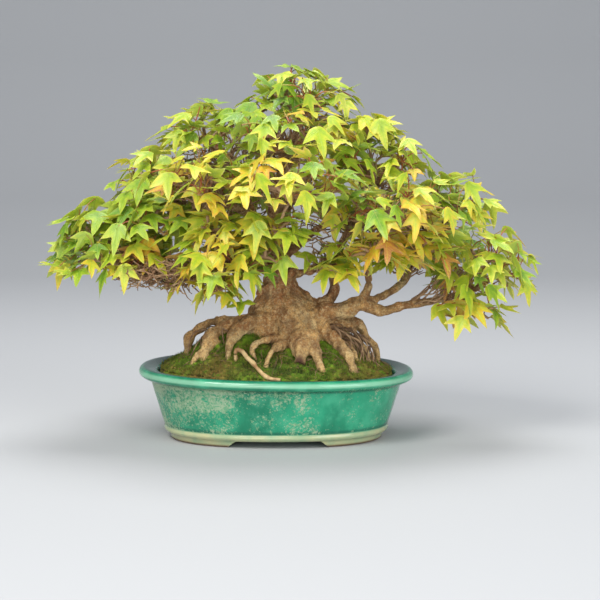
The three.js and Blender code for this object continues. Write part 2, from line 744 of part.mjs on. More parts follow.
// Every leafy spray as {name, colour, solid}: its twigs with their leaves grown on.
function foliage(tree) {
  const sprays = [];
  const plans = [];
  for (const bough of BOUGHS) {
    const forks = Array.from({ length: bough.sprays }, (_, k) => sprayFork(bough, k));
    const tips = twigTips(bough);
    const forkOf = tips.map((tip) => {
      const far = forks.map((fork) => length(sub(fork[1], tip)));
      return far.indexOf(Math.min(...far));
    });
    const own = [];
    forks.forEach((fork, k) => {
      const fan = twigFan(fork, tips.filter((_, i) => forkOf[i] === k), sprays, tree);
      if (!fan) return;
      own.push({ name: `${bough.name}_spray_${k + 1}`, bough, ...fan, blades: [] });
      sprays.push(own[own.length - 1]);
    });
    const axes = own.flatMap((spray) => spray.axes.map((axis) => ({ spray, axis })));
    const ends = axes.map(({ axis }) => axis[1]);
    for (let i = 0; i < bough.leaves; i++) {
      const plan = leafPlan(bough, i, ends);
      plans.push({ ...plan, ...axes[plan.nearest], bough, index: i });
    }
  }
  for (const plan of plans) {
    const { bough, spray, place } = plan;
    if (BOUGHS.some((other) => other !== bough && depthIn(other, place) < BURIED)) continue;
    for (const turn of TURNS) {
      const blade = clearLeaf(bent(plan, turn), plan, sprays, tree);
      if (!blade) continue;
      spray.blades.push(blade);
      break;
    }
  }
  return sprays
    .filter((s) => s.blades.length)
    .map(({ name, bough, twig, blades }) => ({
      name,
      colour: bough.colour,
      solid: Manifold.union([twig, ...blades]),
    }));
}

// The leaf as a solid where it is well rooted in its twig and clear of all else.
function clearLeaf(turned, { spray, axis, index }, sprays, tree) {
  const root = petioleRoot(axis, turned, index);
  if (!root) return null;
  const pose = { ...turned, root };
  const blade = leaf(pose);
  if (blade.intersect(spray.twig).volume() < ROOTED_VOLUME) return null;
  const roomy = leaf(pose, CLEARANCE);
  if (touches(roomy, tree)) return null;
  for (const other of sprays) {
    if (other !== spray && touches(roomy, other.twig)) return null;
    if (other.blades.some((b) => touches(roomy, b))) return null;
  }
  return blade;
}

// The whole

const tree = largest(wood(0), WOOD_SLIVER);
const grownTree = wood(SEAT_GAP + 0.05);
const grownRoots = rootstock(SEAT_GAP + 0.05);
const paleRoot = limb(PALE_ROOT, 5);
const grownPaleRoot = limb(PALE_ROOT, 5, SEAT_GAP + 0.05);
const buried = Manifold.union([grownRoots, grownPaleRoot]);

const pieces = [
  ["pot", pot(), "glaze", 0.2],
  ["drain_mesh_left", drainMesh(-DRAIN.x), "drainMesh", 0.6],
  ["drain_mesh_right", drainMesh(DRAIN.x), "drainMesh", 0.6],
  ["soil", soil().subtract(buried), "soil", 0.95],
  ["moss", moss().subtract(buried), "moss", 1],
  ["tree", tree, "bark", 0.85],
  ["pale_root", paleRoot.subtract(grownTree), "paleRoot", 0.8],
  ...foliage(tree).map((s) => [s.name, s.solid, s.colour, 0.55]),
];

const boxes = pieces.map(([, solid]) => solid.boundingBox());
const middleOf = (k) =>
  (Math.min(...boxes.map((b) => b.min[k])) + Math.max(...boxes.map((b) => b.max[k]))) / 2;
const toOrigin = [-middleOf(0), -middleOf(1), 0];

const bonsai = new THREE.Group();
for (const [name, solid, colour, roughness] of pieces)
  bonsai.add(meshOf(name, largest(solid.translate(toOrigin)), colour, roughness));

export default bonsai;
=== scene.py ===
"""A small trident maple bonsai with yellowing leaves in an oval glazed pot."""
import math

import bmesh
import bpy
import numpy as np
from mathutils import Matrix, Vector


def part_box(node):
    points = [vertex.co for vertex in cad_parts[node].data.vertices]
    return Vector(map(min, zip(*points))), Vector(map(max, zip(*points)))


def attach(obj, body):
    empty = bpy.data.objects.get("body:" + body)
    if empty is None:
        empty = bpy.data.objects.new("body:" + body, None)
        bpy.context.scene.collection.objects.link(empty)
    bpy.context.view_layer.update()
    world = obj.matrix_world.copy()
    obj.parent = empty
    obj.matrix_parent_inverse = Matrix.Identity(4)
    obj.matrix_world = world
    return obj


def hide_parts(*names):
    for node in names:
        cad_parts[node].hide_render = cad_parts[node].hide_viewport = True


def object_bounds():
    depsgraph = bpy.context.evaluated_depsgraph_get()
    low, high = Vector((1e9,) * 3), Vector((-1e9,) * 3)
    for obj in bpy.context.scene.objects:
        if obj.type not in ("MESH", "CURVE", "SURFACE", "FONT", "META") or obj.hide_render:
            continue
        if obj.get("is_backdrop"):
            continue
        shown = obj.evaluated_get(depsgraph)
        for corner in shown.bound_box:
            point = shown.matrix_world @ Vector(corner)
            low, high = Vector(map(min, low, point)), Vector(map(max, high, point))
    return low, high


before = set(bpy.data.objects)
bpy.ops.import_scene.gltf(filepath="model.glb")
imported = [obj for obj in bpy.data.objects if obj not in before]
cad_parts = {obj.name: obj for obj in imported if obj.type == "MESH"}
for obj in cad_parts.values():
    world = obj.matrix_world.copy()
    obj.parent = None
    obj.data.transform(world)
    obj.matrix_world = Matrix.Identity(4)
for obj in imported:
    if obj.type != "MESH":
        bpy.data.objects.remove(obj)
cad_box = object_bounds()

# Camera, light and floor
# The tree stands on a pale floor that sweeps up behind it, in soft light from above and
# in front. Places are in millimetres from the middle of the pot's foot, as on the tree.

MM = 0.001
pot_low, pot_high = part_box("pot")
POT_CENTRE = np.array([(pot_low.x + pot_high.x) / 2, (pot_low.y + pot_high.y) / 2, 0.0])
CAMERA_PLACE = (18.6, -1550, 286)
CAMERA_DIPS = 6.6  # degrees below level
LIGHTS_FACE = np.array([0, 0, 0.15])


def metres(points):
    """Millimetres from the middle of the pot to metres in the part's frame."""
    return np.asarray(points, float) * MM + POT_CENTRE


def add_mesh(name, vertices, faces, smooth=True):
    """A mesh object from an array of points in metres and an array of faces."""
    mesh = bpy.data.meshes.new(name)
    mesh.from_pydata(np.asarray(vertices, float).tolist(), [], np.asarray(faces).tolist())
    mesh.polygons.foreach_set("use_smooth", np.full(len(mesh.polygons), smooth))
    mesh.update()
    thing = bpy.data.objects.new(name, mesh)
    bpy.context.scene.collection.objects.link(thing)
    return thing


def grid_faces(rows, columns, closed):
    """Quads between the rows of a grid of points, joined round if it is closed."""
    row, column = np.mgrid[: rows - 1, : columns if closed else columns - 1]
    a = (row * columns + column).ravel()
    b = (row * columns + (column + 1) % columns).ravel()
    return np.stack([a, b, b + columns, a + columns], axis=1)


def new_material(name, roughness=0.6):
    """A new material of that roughness, with its node tree and its shader."""
    material = bpy.data.materials.new(name)
    material.use_nodes = True
    tree = material.node_tree
    shader = tree.nodes["Principled BSDF"]
    shader.inputs["Roughness"].default_value = roughness
    return material, tree, shader


camera = bpy.data.objects.new("camera", bpy.data.cameras.new("camera"))
camera.data.lens = 120
camera.data.sensor_width = 36
camera.data.clip_end = 50
camera.location = metres(CAMERA_PLACE)
camera.rotation_euler = (math.radians(90 - CAMERA_DIPS), 0, 0)
bpy.context.scene.collection.objects.link(camera)
bpy.context.scene.camera = camera
bpy.context.scene.view_settings.view_transform = "Standard"


def area_light(name, place, size, power, colour):
    """A square soft light that faces the middle of the crown."""
    light = bpy.data.objects.new(name, bpy.data.lights.new(name, "AREA"))
    light.data.size = size
    light.data.energy = power
    light.data.color = colour
    light.location = place
    bpy.context.scene.collection.objects.link(light)
    direction = LIGHTS_FACE - np.array(place)
    light.rotation_euler = (
        math.acos(-direction[2] / np.linalg.norm(direction)),
        0,
        math.atan2(-direction[0], direction[1]),
    )


area_light("key", (-0.7, -1.2, 1.5), 0.9, 31, (1.0, 0.98, 0.95))
area_light("fill", (1.2, -1.4, 0.7), 1.2, 19, (0.98, 0.99, 1.0))
area_light("low_front", (-0.3, -1.7, 0.25), 0.9, 11, (1.0, 0.98, 0.95))
area_light("top", (0.1, 0.35, 1.5), 0.9, 16, (1.0, 1.0, 1.0))
world = bpy.data.worlds.new("studio")
world.use_nodes = True
world.node_tree.nodes["Background"].inputs["Color"].default_value = (0.85, 0.9, 1.0, 1)
world.node_tree.nodes["Background"].inputs["Strength"].default_value = 0.42
bpy.context.scene.world = world

SWEEP = [(-3, 0), (1.2, 0), (1.7, 0.07), (2.1, 0.3), (2.3, 0.7), (2.4, 1.4), (2.4, 4)]
sweep_y, sweep_z = np.array(SWEEP).T
sweep_x = np.linspace(-4, 4, 9)
floor_points = np.stack(
    [
        np.tile(sweep_x, len(SWEEP)),
        np.repeat(sweep_y, len(sweep_x)),
        np.repeat(sweep_z, len(sweep_x)),
    ],
    axis=1,
)
floor = add_mesh("floor", floor_points, grid_faces(len(SWEEP), len(sweep_x), False))
floor_material, tree, shader = new_material("pale_floor", 0.7)
shader.inputs["Base Color"].default_value = (0.44, 0.45, 0.46, 1)
floor.data.materials.append(floor_material)
floor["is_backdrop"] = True

# Pot
# Stoneware pressed in an oval mould and glazed turquoise green. It has an out-turned
# lip, a bead above the foot, and an arch cut in the foot's front and back for air.

SQUARENESS = 2.3
DEPTH_LOSS = 24.6
FOOT_INNER = 72.0
RIM_FALL, FALL_START, FALL_SPAN = 0.0145, 20, 30
POT_PROFILE = [
    (0, 6.0), (70.6, 6.0), (72, 0), (82.6, 0), (83.6, 4.8), (86.6, 6.1), (88.1, 8.2),
    (87.1, 10.4), (87.6, 12), (90.4, 20), (94.2, 32.5), (97, 42), (98.4, 45.4),
    (103.4, 46.6), (106.9, 48.9), (107.3, 51.5), (106, 53.8), (102.4, 55), (95.4, 53.6),
    (93, 52.6), (91.4, 49), (84, 20), (77, 11.5), (0, 11.5),
]
POT_TURNS = 168
DRAIN_X, DRAIN_RADIUS = 40.0, 7.0
ARCH_X, ARCH_BOTTOM, ARCH_TOP, ARCH_HEIGHT = 2.0, 40.0, 31.0, 5.4


def oval(radius, turn):
    """Points of the pot's oval: a circle's x and y, each to a power that squares it a
    little, times the half width and the half depth that go with this radius."""
    depth = radius * (1 - DEPTH_LOSS / np.maximum(radius, FOOT_INNER))
    cosine, sine = np.cos(turn), np.sin(turn)
    power = 2 / SQUARENESS
    x = radius * np.sign(cosine) * np.abs(cosine) ** power
    y = depth * np.sign(sine) * np.abs(sine) ** power
    return x, y


def softened(profile, radius, steps=4):
    """A profile whose corners are replaced by short arcs: from each corner a step back
    and a step on, joined by the quadratic curve that the corner pulls."""
    points = np.array(profile, float)
    before, corner, after = points[:-2], points[1:-1], points[2:]
    back, on = before - corner, after - corner
    back_length = np.linalg.norm(back, axis=1, keepdims=True)
    on_length = np.linalg.norm(on, axis=1, keepdims=True)
    start = corner + back / back_length * np.minimum(radius, 0.45 * back_length)
    end = corner + on / on_length * np.minimum(radius, 0.45 * on_length)
    t = np.linspace(0, 1, steps)[None, :, None]
    arcs = (
        (1 - t) ** 2 * start[:, None]
        + 2 * t * (1 - t) * corner[:, None]
        + t**2 * end[:, None]
    )
    return np.concatenate([points[:1], arcs.reshape(-1, 2), points[-1:]])


def rim_fall(x, z):
    """How far the pot's wall has sunk on the right: a fixed share of x, from nothing at
    one height to all of it at another."""
    return RIM_FALL * x * np.clip((z - FALL_START) / FALL_SPAN, 0, 1)


def oval_surface(profile, turns):
    """The profile carried round the oval, one ring of points for each of its points,
    and sunk on the right as the rim is."""
    turn = np.arange(turns) / turns * 2 * np.pi
    radius, turn_grid = np.meshgrid(profile[:, 0], turn, indexing="ij")
    x, y = oval(radius, turn_grid)
    z = np.repeat(profile[:, 1:2], turns, axis=1)
    z = z - rim_fall(x, z)
    return np.stack([x, y, z], axis=-1).reshape(-1, 3)


def clean(thing, distance=1e-6):
    """Merges double points, such as those of a pole, and turns the faces outwards."""
    mesh = bmesh.new()
    mesh.from_mesh(thing.data)
    bmesh.ops.remove_doubles(mesh, verts=mesh.verts, dist=distance)
    bmesh.ops.dissolve_degenerate(mesh, edges=mesh.edges, dist=distance)
    bmesh.ops.recalc_face_normals(mesh, faces=mesh.faces)
    mesh.to_mesh(thing.data)
    mesh.free()


def cut(thing, cutters):
    """Takes the cutters away from the thing and removes them."""
    for cutter in cutters:
        boolean = thing.modifiers.new("cut", "BOOLEAN")
        boolean.operation = "DIFFERENCE"
        boolean.object = cutter
    graph = bpy.context.evaluated_depsgraph_get()
    result = bpy.data.meshes.new_from_object(thing.evaluated_get(graph))
    thing.modifiers.clear()
    thing.data = result
    for cutter in cutters:
        bpy.data.objects.remove(cutter)


def prism(name, outline, low, high, axis):
    """A closed prism: an outline in two axes, from low to high along the third."""
    outline = np.array(outline, float)
    count = len(outline)
    ends = []
    for level in (low, high):
        ends.append(np.insert(outline, axis, level, axis=1))
    faces = grid_faces(2, count, True).tolist()
    faces += [list(range(count))[::-1], list(range(count, 2 * count))]
    mesh = bpy.data.meshes.new(name)
    mesh.from_pydata(metres(np.concatenate(ends)).tolist(), [], faces)
    thing = bpy.data.objects.new(name, mesh)
    bpy.context.scene.collection.objects.link(thing)
    clean(thing)
    return thing


def drain_cutter(x):
    """A round drain hole through the pot's floor at that x."""
    turn = np.arange(40) / 40 * 2 * np.pi
    ring = np.stack([x + DRAIN_RADIUS * np.cos(turn), DRAIN_RADIUS * np.sin(turn)], axis=1)
    return prism("drain_cutter", ring, -2, 20, 2)


def arch_cutter():
    """The foot's cut-out: a low trapezium with S-shaped ends, right through the pot."""
    t = np.linspace(0, 1, 9)
    rise = ARCH_HEIGHT * (3 * t**2 - 2 * t**3)
    right = np.stack([ARCH_BOTTOM + (ARCH_TOP - ARCH_BOTTOM) * t, rise], axis=1)
    left = right[::-1] * [-1, 1]
    base = [[-ARCH_BOTTOM - 0.2, -1], [ARCH_BOTTOM + 0.2, -1]]
    outline = np.concatenate([base, right, left]) + [ARCH_X, 0]
    return prism("arch_cutter", outline, -100, 100, 1)


pot_profile = softened(POT_PROFILE, 2.2)
pot = add_mesh(
    "glazed_pot",
    metres(oval_surface(pot_profile, POT_TURNS)),
    grid_faces(len(pot_profile), POT_TURNS, True),
)
clean(pot)
cut(pot, [arch_cutter(), drain_cutter(-DRAIN_X), drain_cutter(DRAIN_X)])
pot.data.set_sharp_from_angle(angle=math.radians(48))


def point_places(mesh):
    """The mesh's points as an array, in millimetres from the middle of the pot."""
    places = np.empty(len(mesh.vertices) * 3)
    mesh.vertices.foreach_get("co", places)
    return (places.reshape(-1, 3) - POT_CENTRE) / MM


def paint(mesh, name, channels):
    """Stores up to four numbers from 0 to 1 at each point as a colour attribute."""
    values = np.ones((len(mesh.vertices), 4))
    for k, channel in enumerate(channels):
        values[:, k] = channel
    layer = mesh.attributes.new(name, "FLOAT_COLOR", "POINT")
    layer.data.foreach_set("color", values.ravel())


def step(value, low, high):
    """0 below low, 1 above high, and a smooth slope between them."""
    t = np.clip((value - low) / (high - low), 0, 1)
    return t * t * (3 - 2 * t)


def oval_radius(places):
    """The half width of the oval that passes through each point."""
    x, y = np.abs(places[:, 0]), np.abs(places[:, 1])
    radius = x + y
    for _ in range(12):
        depth_share = 1 - DEPTH_LOSS / np.maximum(radius, FOOT_INNER)
        radius = (x**SQUARENESS + (y / depth_share) ** SQUARENESS) ** (1 / SQUARENESS)
    return radius


spots = point_places(pot.data)
height = spots[:, 2] + rim_fall(spots[:, 0], spots[:, 2])
radius = oval_radius(spots)
outside = step(radius, 80, 82)
foot_cream = outside * (1 - step(height, 10.0, 11.4))
arris = step(radius, 105.6, 107) * step(height, 49, 50.6) * (1 - 0.55 * step(height, 53.6, 54.6))
# Painted shade: a dark band on the neck under the overhanging lip. It shares a channel with the
# pooled glaze above the bead.
under_lip_shade = step(height, 43.4, 45.6) * (1 - step(height, 46.6, 48.2)) * outside
pooled = step(height, 10.6, 11.4) * (1 - step(height, 12.2, 14.5)) * outside
rim_top = step(height, 52.4, 53.4) * (1 - step(radius, 102, 105))
paint(pot.data, "glaze_bands", [foot_cream, arris, np.maximum(pooled, under_lip_shade), rim_top])


def feed(tree, socket, value):
    """Links another socket to this one, or sets a number or a colour on it."""
    if isinstance(value, bpy.types.NodeSocket):
        tree.links.new(value, socket)
    elif socket.type == "RGBA":
        socket.default_value = (*value, 1)
    else:
        socket.default_value = value


def node(tree, kind, inputs=None, **settings):
    """A shader node with its settings, and its inputs by name or number."""
    made = tree.nodes.new(kind)
    for name, value in settings.items():
        setattr(made, name, value)
    for name, value in (inputs or {}).items():
        feed(tree, made.inputs[name], value)
    return made


def maths(tree, operation, *values, clamp=False):
    """A sum on numbers or sockets."""
    inputs = dict(enumerate(values))
    return node(tree, "ShaderNodeMath", inputs, operation=operation, use_clamp=clamp).outputs[0]


def times(tree, *values):
    """A value multiplied by another."""
    return maths(tree, "MULTIPLY", *values)


def ranged(tree, value, low, high, start=0, end=1, shape="LINEAR"):
    """How far a value has gone from low to high, as a number from start to end."""
    names = ("Value", "From Min", "From Max", "To Min", "To Max")
    inputs = dict(zip(names, (value, low, high, start, end)))
    return node(tree, "ShaderNodeMapRange", inputs, interpolation_type=shape).outputs[0]


def object_place(tree):
    """Where a point lies on its own object, in metres."""
    return node(tree, "ShaderNodeTexCoord").outputs["Object"]


def painted(tree, name):
    """The four numbers that are stored at each point under a name."""
    layer = node(tree, "ShaderNodeVertexColor", layer_name=name).outputs
    parts = node(tree, "ShaderNodeSeparateColor", {"Color": layer["Color"]}).outputs
    return parts[0], parts[1], parts[2], layer["Alpha"]


def patches_group():
    """Irregular patches: cloudy noise of a size, cut at a level with a soft edge."""
    group = bpy.data.node_groups.new("patches", "ShaderNodeTree")
    for name, value in (("Scale", 100), ("Level", 0.5), ("Softness", 0.1), ("Stretch", 1)):
        socket = group.interface.new_socket(name, in_out="INPUT", socket_type="NodeSocketFloat")
        socket.default_value = value
    for name in ("Mask", "Cloud"):
        group.interface.new_socket(name, in_out="OUTPUT", socket_type="NodeSocketFloat")
    given = group.nodes.new("NodeGroupInput").outputs
    squeeze = node(group, "ShaderNodeCombineXYZ", {"X": 1, "Y": 1, "Z": given["Stretch"]})
    stretched = node(
        group, "ShaderNodeVectorMath", {0: object_place(group), 1: squeeze.outputs[0]},
        operation="MULTIPLY",
    )
    cloud = node(
        group, "ShaderNodeTexNoise",
        {"Vector": stretched.outputs[0], "Scale": given["Scale"], "Detail": 5, "Roughness": 0.62},
    ).outputs[0]
    low = maths(group, "SUBTRACT", given["Level"], given["Softness"])
    high = maths(group, "ADD", given["Level"], given["Softness"])
    result = group.nodes.new("NodeGroupOutput").inputs
    group.links.new(ranged(group, cloud, low, high, shape="SMOOTHSTEP"), result["Mask"])
    group.links.new(cloud, result["Cloud"])
    return group


PATCHES = patches_group()


def patches(tree, scale, level, softness, stretch=1, output="Mask"):
    """The patches group placed in a material, with its numbers, and one output."""
    inputs = {"Scale": scale, "Level": level, "Softness": softness, "Stretch": stretch}
    return node(tree, "ShaderNodeGroup", inputs, node_tree=PATCHES).outputs[output]


def cloud(tree, scale, softness=0.3, stretch=1):
    """The cloudy noise under the patches, uncut."""
    return patches(tree, scale, 0.5, softness, stretch, "Cloud")


def blend(tree, amount, under, over):
    """Colour over laid on colour under by an amount from 0 to 1."""
    mix = node(tree, "ShaderNodeMix", {0: amount}, data_type="RGBA")
    feed(tree, mix.inputs[6], under)
    feed(tree, mix.inputs[7], over)
    return mix.outputs[2]


def layered(tree, tint, layers):
    """Patches laid on a colour one after the other. Each has its scale, level and
    softness, how strongly it covers, and its colour."""
    for scale, level, softness, amount, over in layers:
        tint = blend(tree, times(tree, patches(tree, scale, level, softness), amount), tint, over)
    return tint


def relief(tree, shader, height, distance, strength=1.0):
    """A bump of that depth in metres on the shader's normal."""
    inputs = {"Height": height, "Distance": distance, "Strength": strength}
    feed(tree, shader.inputs["Normal"], node(tree, "ShaderNodeBump", inputs).outputs[0])


def mottled(name, roughness, patch, dark, light, layers=(), bump=None):
    """A material of two tones in patches, with layers of more patches over them. The
    bump has the scale of its fine patches, its depth and its strength."""
    material, tree, shader = new_material(name, roughness)
    tint = layered(tree, blend(tree, patches(tree, *patch), dark, light), layers)
    feed(tree, shader.inputs["Base Color"], tint)
    if bump:
        relief(tree, shader, patches(tree, bump[0], 0.5, 0.3), *bump[1:])
    return material


GLAZE_DEEP = (0.008, 0.175, 0.092)
GLAZE_MIDDLE = (0.022, 0.33, 0.175)
GLAZE_THIN = (0.085, 0.46, 0.27)
GLAZE_PALE = (0.30, 0.56, 0.38)
FOOT_CREAM = (0.44, 0.44, 0.24)
BARE_CLAY = (0.15, 0.085, 0.045)
LIME_BLOOM = (0.18, 0.34, 0.18)
LIME_CRUST = (0.44, 0.50, 0.34)

GLAZE_POOLED_AND_SHADE = (0.006, 0.085, 0.055)
GLAZE_RIM_TOP = (0.003, 0.065, 0.045)
FOOT_GREEN = (0.27, 0.38, 0.22)
GLAZE_ROUGHNESS = 0.16

glaze, tree, shader = new_material("glaze", GLAZE_ROUGHNESS)
foot_mask, arris_mask, pooled_glaze_and_shade_mask, rim_mask = painted(tree, "glaze_bands")
place = node(tree, "ShaderNodeSeparateXYZ", {"Vector": object_place(tree)}).outputs
colour = blend(tree, patches(tree, 26, 0.5, 0.16, 0.5), GLAZE_DEEP, GLAZE_MIDDLE)
colour = layered(tree, colour, [(90, 0.55, 0.14, 0.45, GLAZE_THIN)])
# The pooled glaze above the bead and the painted shade under the lip are darkened together.
for mask, amount, over in (
    (pooled_glaze_and_shade_mask, 0.7, GLAZE_POOLED_AND_SHADE), (rim_mask, 0.9, GLAZE_RIM_TOP), (arris_mask, 0.6, GLAZE_PALE),
):
    colour = blend(tree, times(tree, mask, amount), colour, over)
cream = blend(tree, patches(tree, 60, 0.5, 0.2), FOOT_CREAM, FOOT_GREEN)
colour = blend(tree, foot_mask, colour, cream)
# Lime from hard water dries on the glaze in lacy blotches, most of them under the lip
# and towards the left.
high = ranged(tree, place["Z"], 0.012, 0.046, 0, 0.08)
leftwards = ranged(tree, place["X"], 0.06, -0.11, -0.02, 0.14)
region = times(tree, maths(tree, "SUBTRACT", cloud(tree, 44), 0.5), 0.75)
more = maths(tree, "ADD", maths(tree, "ADD", high, leftwards), region)
level = maths(tree, "SUBTRACT", 0.67, more)
body_only = maths(tree, "SUBTRACT", 1, maths(tree, "MAXIMUM", foot_mask, rim_mask), clamp=True)
body_only = times(tree, body_only, ranged(tree, place["Z"], 0.0485, 0.0455))
bloom = times(tree, patches(tree, 430, level, 0.05), times(tree, body_only, 0.75))
crust = patches(tree, 620, maths(tree, "ADD", level, 0.03), 0.04)
crust = times(tree, crust, times(tree, body_only, 0.55))
bare = ranged(tree, place["Z"], 0.0026, 0.0009)
for mask, over in ((bloom, LIME_BLOOM), (crust, LIME_CRUST), (bare, BARE_CLAY)):
    colour = blend(tree, mask, colour, over)
feed(tree, shader.inputs["Base Color"], colour)
dull = times(tree, maths(tree, "MAXIMUM", bloom, bare), 0.5)
feed(tree, shader.inputs["Roughness"], maths(tree, "ADD", dull, 0.14))
relief(tree, shader, maths(tree, "ADD", bloom, cloud(tree, 45)), 0.0003, 0.5)
pot.data.materials.append(glaze)
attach(pot, "root")
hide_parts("pot")

# Drainage squares and soil
# A square of black plastic mesh lies over each drain hole, and granular soil fills the
# pot above them. Both keep their solid shapes and get their finish here.

DRAIN_DARK, DRAIN_LIGHT = (0.012, 0.012, 0.013), (0.03, 0.028, 0.026)
SOIL_DARK, SOIL_LIGHT = (0.035, 0.022, 0.013), (0.12, 0.075, 0.04)

drain_plastic = mottled(
    "drain_plastic", 0.5, (400, 0.5, 0.2), DRAIN_DARK, DRAIN_LIGHT, bump=(900, 0.0001, 0.4)
)
soil_grains, tree, shader = new_material("soil_grains", 0.95)
grain = node(tree, "ShaderNodeTexVoronoi", {"Vector": object_place(tree), "Scale": 420})
tint = blend(tree, patches(tree, 300, 0.5, 0.15), SOIL_DARK, SOIL_LIGHT)
feed(tree, shader.inputs["Base Color"], tint)
relief(tree, shader, grain.outputs["Distance"], 0.0012, 0.8)

for name, material in (
    ("drain_mesh_left", drain_plastic),
    ("drain_mesh_right", drain_plastic),
    ("soil", soil_grains),
):
    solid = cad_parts[name]
    solid.data.materials.clear()
    solid.data.materials.append(material)

# Moss
# Short living moss covers the mounded soil from the pot's inner wall to the roots. Its
# cushion is one surface with tufts, and fine shoots, dry bits and root hairs stand on it.

MOSS_PROFILE = [
    (0, 76.3), (28, 74.3), (52, 63.3), (88, 48.8), (90.6, 49.6), (91, 51.4), (88.6, 53.8),
    (84, 56.2), (72, 62.6), (56, 70), (36, 79.5), (0, 83.5),
]
MOSS_TURNS = 260


def lumps(places, size, seed):
    """Smooth noise from -1 to 1: a random height at each corner of a grid of that size,
    blended between the eight corners round a point by a smooth step."""
    scaled = np.asarray(places, float) / size
    cell = np.floor(scaled).astype(np.int64)
    part = scaled - cell
    part = part * part * (3 - 2 * part)
    total = np.zeros(len(scaled))
    for corner in np.ndindex(2, 2, 2):
        key = cell + np.array(corner)
        mixed = key[:, 0] * 73856093 ^ key[:, 1] * 19349663 ^ key[:, 2] * 83492791 ^ seed * 7919
        mixed = (mixed ^ (mixed >> 13)) * 1274126177 & 0xFFFFFFFF
        value = ((mixed ^ (mixed >> 16)) & 0xFFFF) / 32767.5 - 1
        total += value * np.prod(np.where(corner, part, 1 - part), axis=1)
    return total


def mounds(places):
    """The moss's broad mounds, with smaller ones on them."""
    return 1.5 * lumps(places, 24, 1) + lumps(places, 10, 2)


def moss_rise(x, y):
    """How far the moss climbs above its mound under the arching roots, as two soft
    humps: each falls with the square of the distance from its middle."""
    left = 8 * np.exp(-(((x + 40) / 22) ** 2) - ((y + 2) / 22) ** 2)
    right = 7 * np.exp(-(((x - 52) / 17) ** 2) - ((y - 2) / 22) ** 2)
    return left + right


def refined(profile, spacing):
    """A profile with points added so that none are further apart than the spacing."""
    points = np.array(profile, float)
    run = np.concatenate([[0], np.cumsum(np.linalg.norm(np.diff(points, axis=0), axis=1))])
    at = np.linspace(0, run[-1], int(run[-1] / spacing) + 1)
    return np.stack([np.interp(at, run, points[:, 0]), np.interp(at, run, points[:, 1])], axis=1)


moss_under = softened(MOSS_PROFILE[:5], 1.5)
moss_over = refined(softened(MOSS_PROFILE[4:], 3.0)[1:], 1.15)
moss_profile = np.concatenate([moss_under[:-1], moss_over])
moss_places = oval_surface(moss_profile, MOSS_TURNS)
on_top = np.repeat(np.arange(len(moss_profile)) >= len(moss_under) + 1, MOSS_TURNS)
tufts = 1.35 * lumps(moss_places, 4.8, 3) + 0.7 * lumps(moss_places, 1.9, 4)
edge_calm = 1 - 0.6 * step(oval_radius(moss_places), 84, 90)
moss_places[:, 2] += on_top * (
    edge_calm * (mounds(moss_places) + tufts) + moss_rise(*moss_places.T[:2])
)
moss = add_mesh(
    "moss_cushion", metres(moss_places), grid_faces(len(moss_profile), MOSS_TURNS, True)
)


def litter(places):
    """How brown with dry bits the moss is: towards the rim, at two spots, and by chance."""
    brown = 0.55 * step(oval_radius(places), 76, 89) * step(np.abs(places[:, 0]), 20, 70)
    for x, y, reach in ((-46, -46, 17), (66, -22, 17), (-2, -22, 12)):
        brown += 0.75 * np.exp(-(((places[:, 0] - x) ** 2 + (places[:, 1] - y) ** 2) / reach**2))
    return np.clip(brown + 0.3 * lumps(places, 9, 12), 0, 1)


# The cushion's tone is random patches, lighter on the tops of the tufts and darker between them:
# painted shade in the hollows.
shade = 0.46 + 0.34 * lumps(moss_places, 26, 5) + 0.3 * lumps(moss_places, 7, 6)
paint(moss.data, "growth", [np.clip(shade + 0.35 * tufts, 0, 1), 0.2, litter(moss_places)])
clean(moss)


def moss_height(x, y):
    """The height of the moss at each place, from the profile and its mounds."""
    flat = np.stack([x, y, np.zeros_like(x)], axis=1)
    over = np.array(MOSS_PROFILE[6:])[::-1]
    return np.interp(oval_radius(flat), over[:, 0], over[:, 1]) - RIM_FALL * x + moss_rise(x, y)


def scattered(count, seed, reach):
    """Random places on the moss, even over the oval, as x and y."""
    random = np.random.default_rng(seed)
    radius = reach * np.sqrt(random.random(count))
    turn = random.random(count) * 2 * np.pi
    return oval(radius, turn)


SHOOTS = 24000
SHOOT_THICK, SHOOT_SHORT, SHOOT_TALL = 0.36, 1.8, 4.4
THIRD_OF_TURN = 2.094
random = np.random.default_rng(7)
shoot_x, shoot_y = scattered(SHOOTS, 8, 90)
shoot_foot = np.stack([shoot_x, shoot_y, moss_height(shoot_x, shoot_y)], axis=1)
shoot_foot[:, 2] += mounds(shoot_foot) - 0.9
lean = random.normal(0, 0.55, (SHOOTS, 3)) + [0, 0, 1.6]
lean /= np.linalg.norm(lean, axis=1, keepdims=True)
tall = random.uniform(SHOOT_SHORT, SHOOT_TALL, (SHOOTS, 1))
spin = random.random(SHOOTS) * 2 * np.pi
corners = []
for k in range(3):
    turn = spin + k * THIRD_OF_TURN
    around = np.stack([np.cos(turn), np.sin(turn), 0 * spin], axis=1)
    corners.append(shoot_foot + SHOOT_THICK * around)
shoot_points = np.stack([*corners, shoot_foot + lean * tall], axis=1).reshape(-1, 3)
first = np.arange(SHOOTS)[:, None, None] * 4
shoot_faces = (first + np.array([[0, 1, 3], [1, 2, 3], [2, 0, 3], [2, 1, 0]])).reshape(-1, 3)
shoots = add_mesh("moss_shoots", metres(shoot_points), shoot_faces)
fresh = np.clip(0.5 + 0.4 * lumps(shoot_foot, 26, 5) + random.normal(0, 0.16, SHOOTS), 0, 1)
tip = np.tile([0, 0, 0, 1.0], SHOOTS)
paint(shoots.data, "growth", [np.repeat(fresh, 4), tip, np.repeat(litter(shoot_foot), 4)])

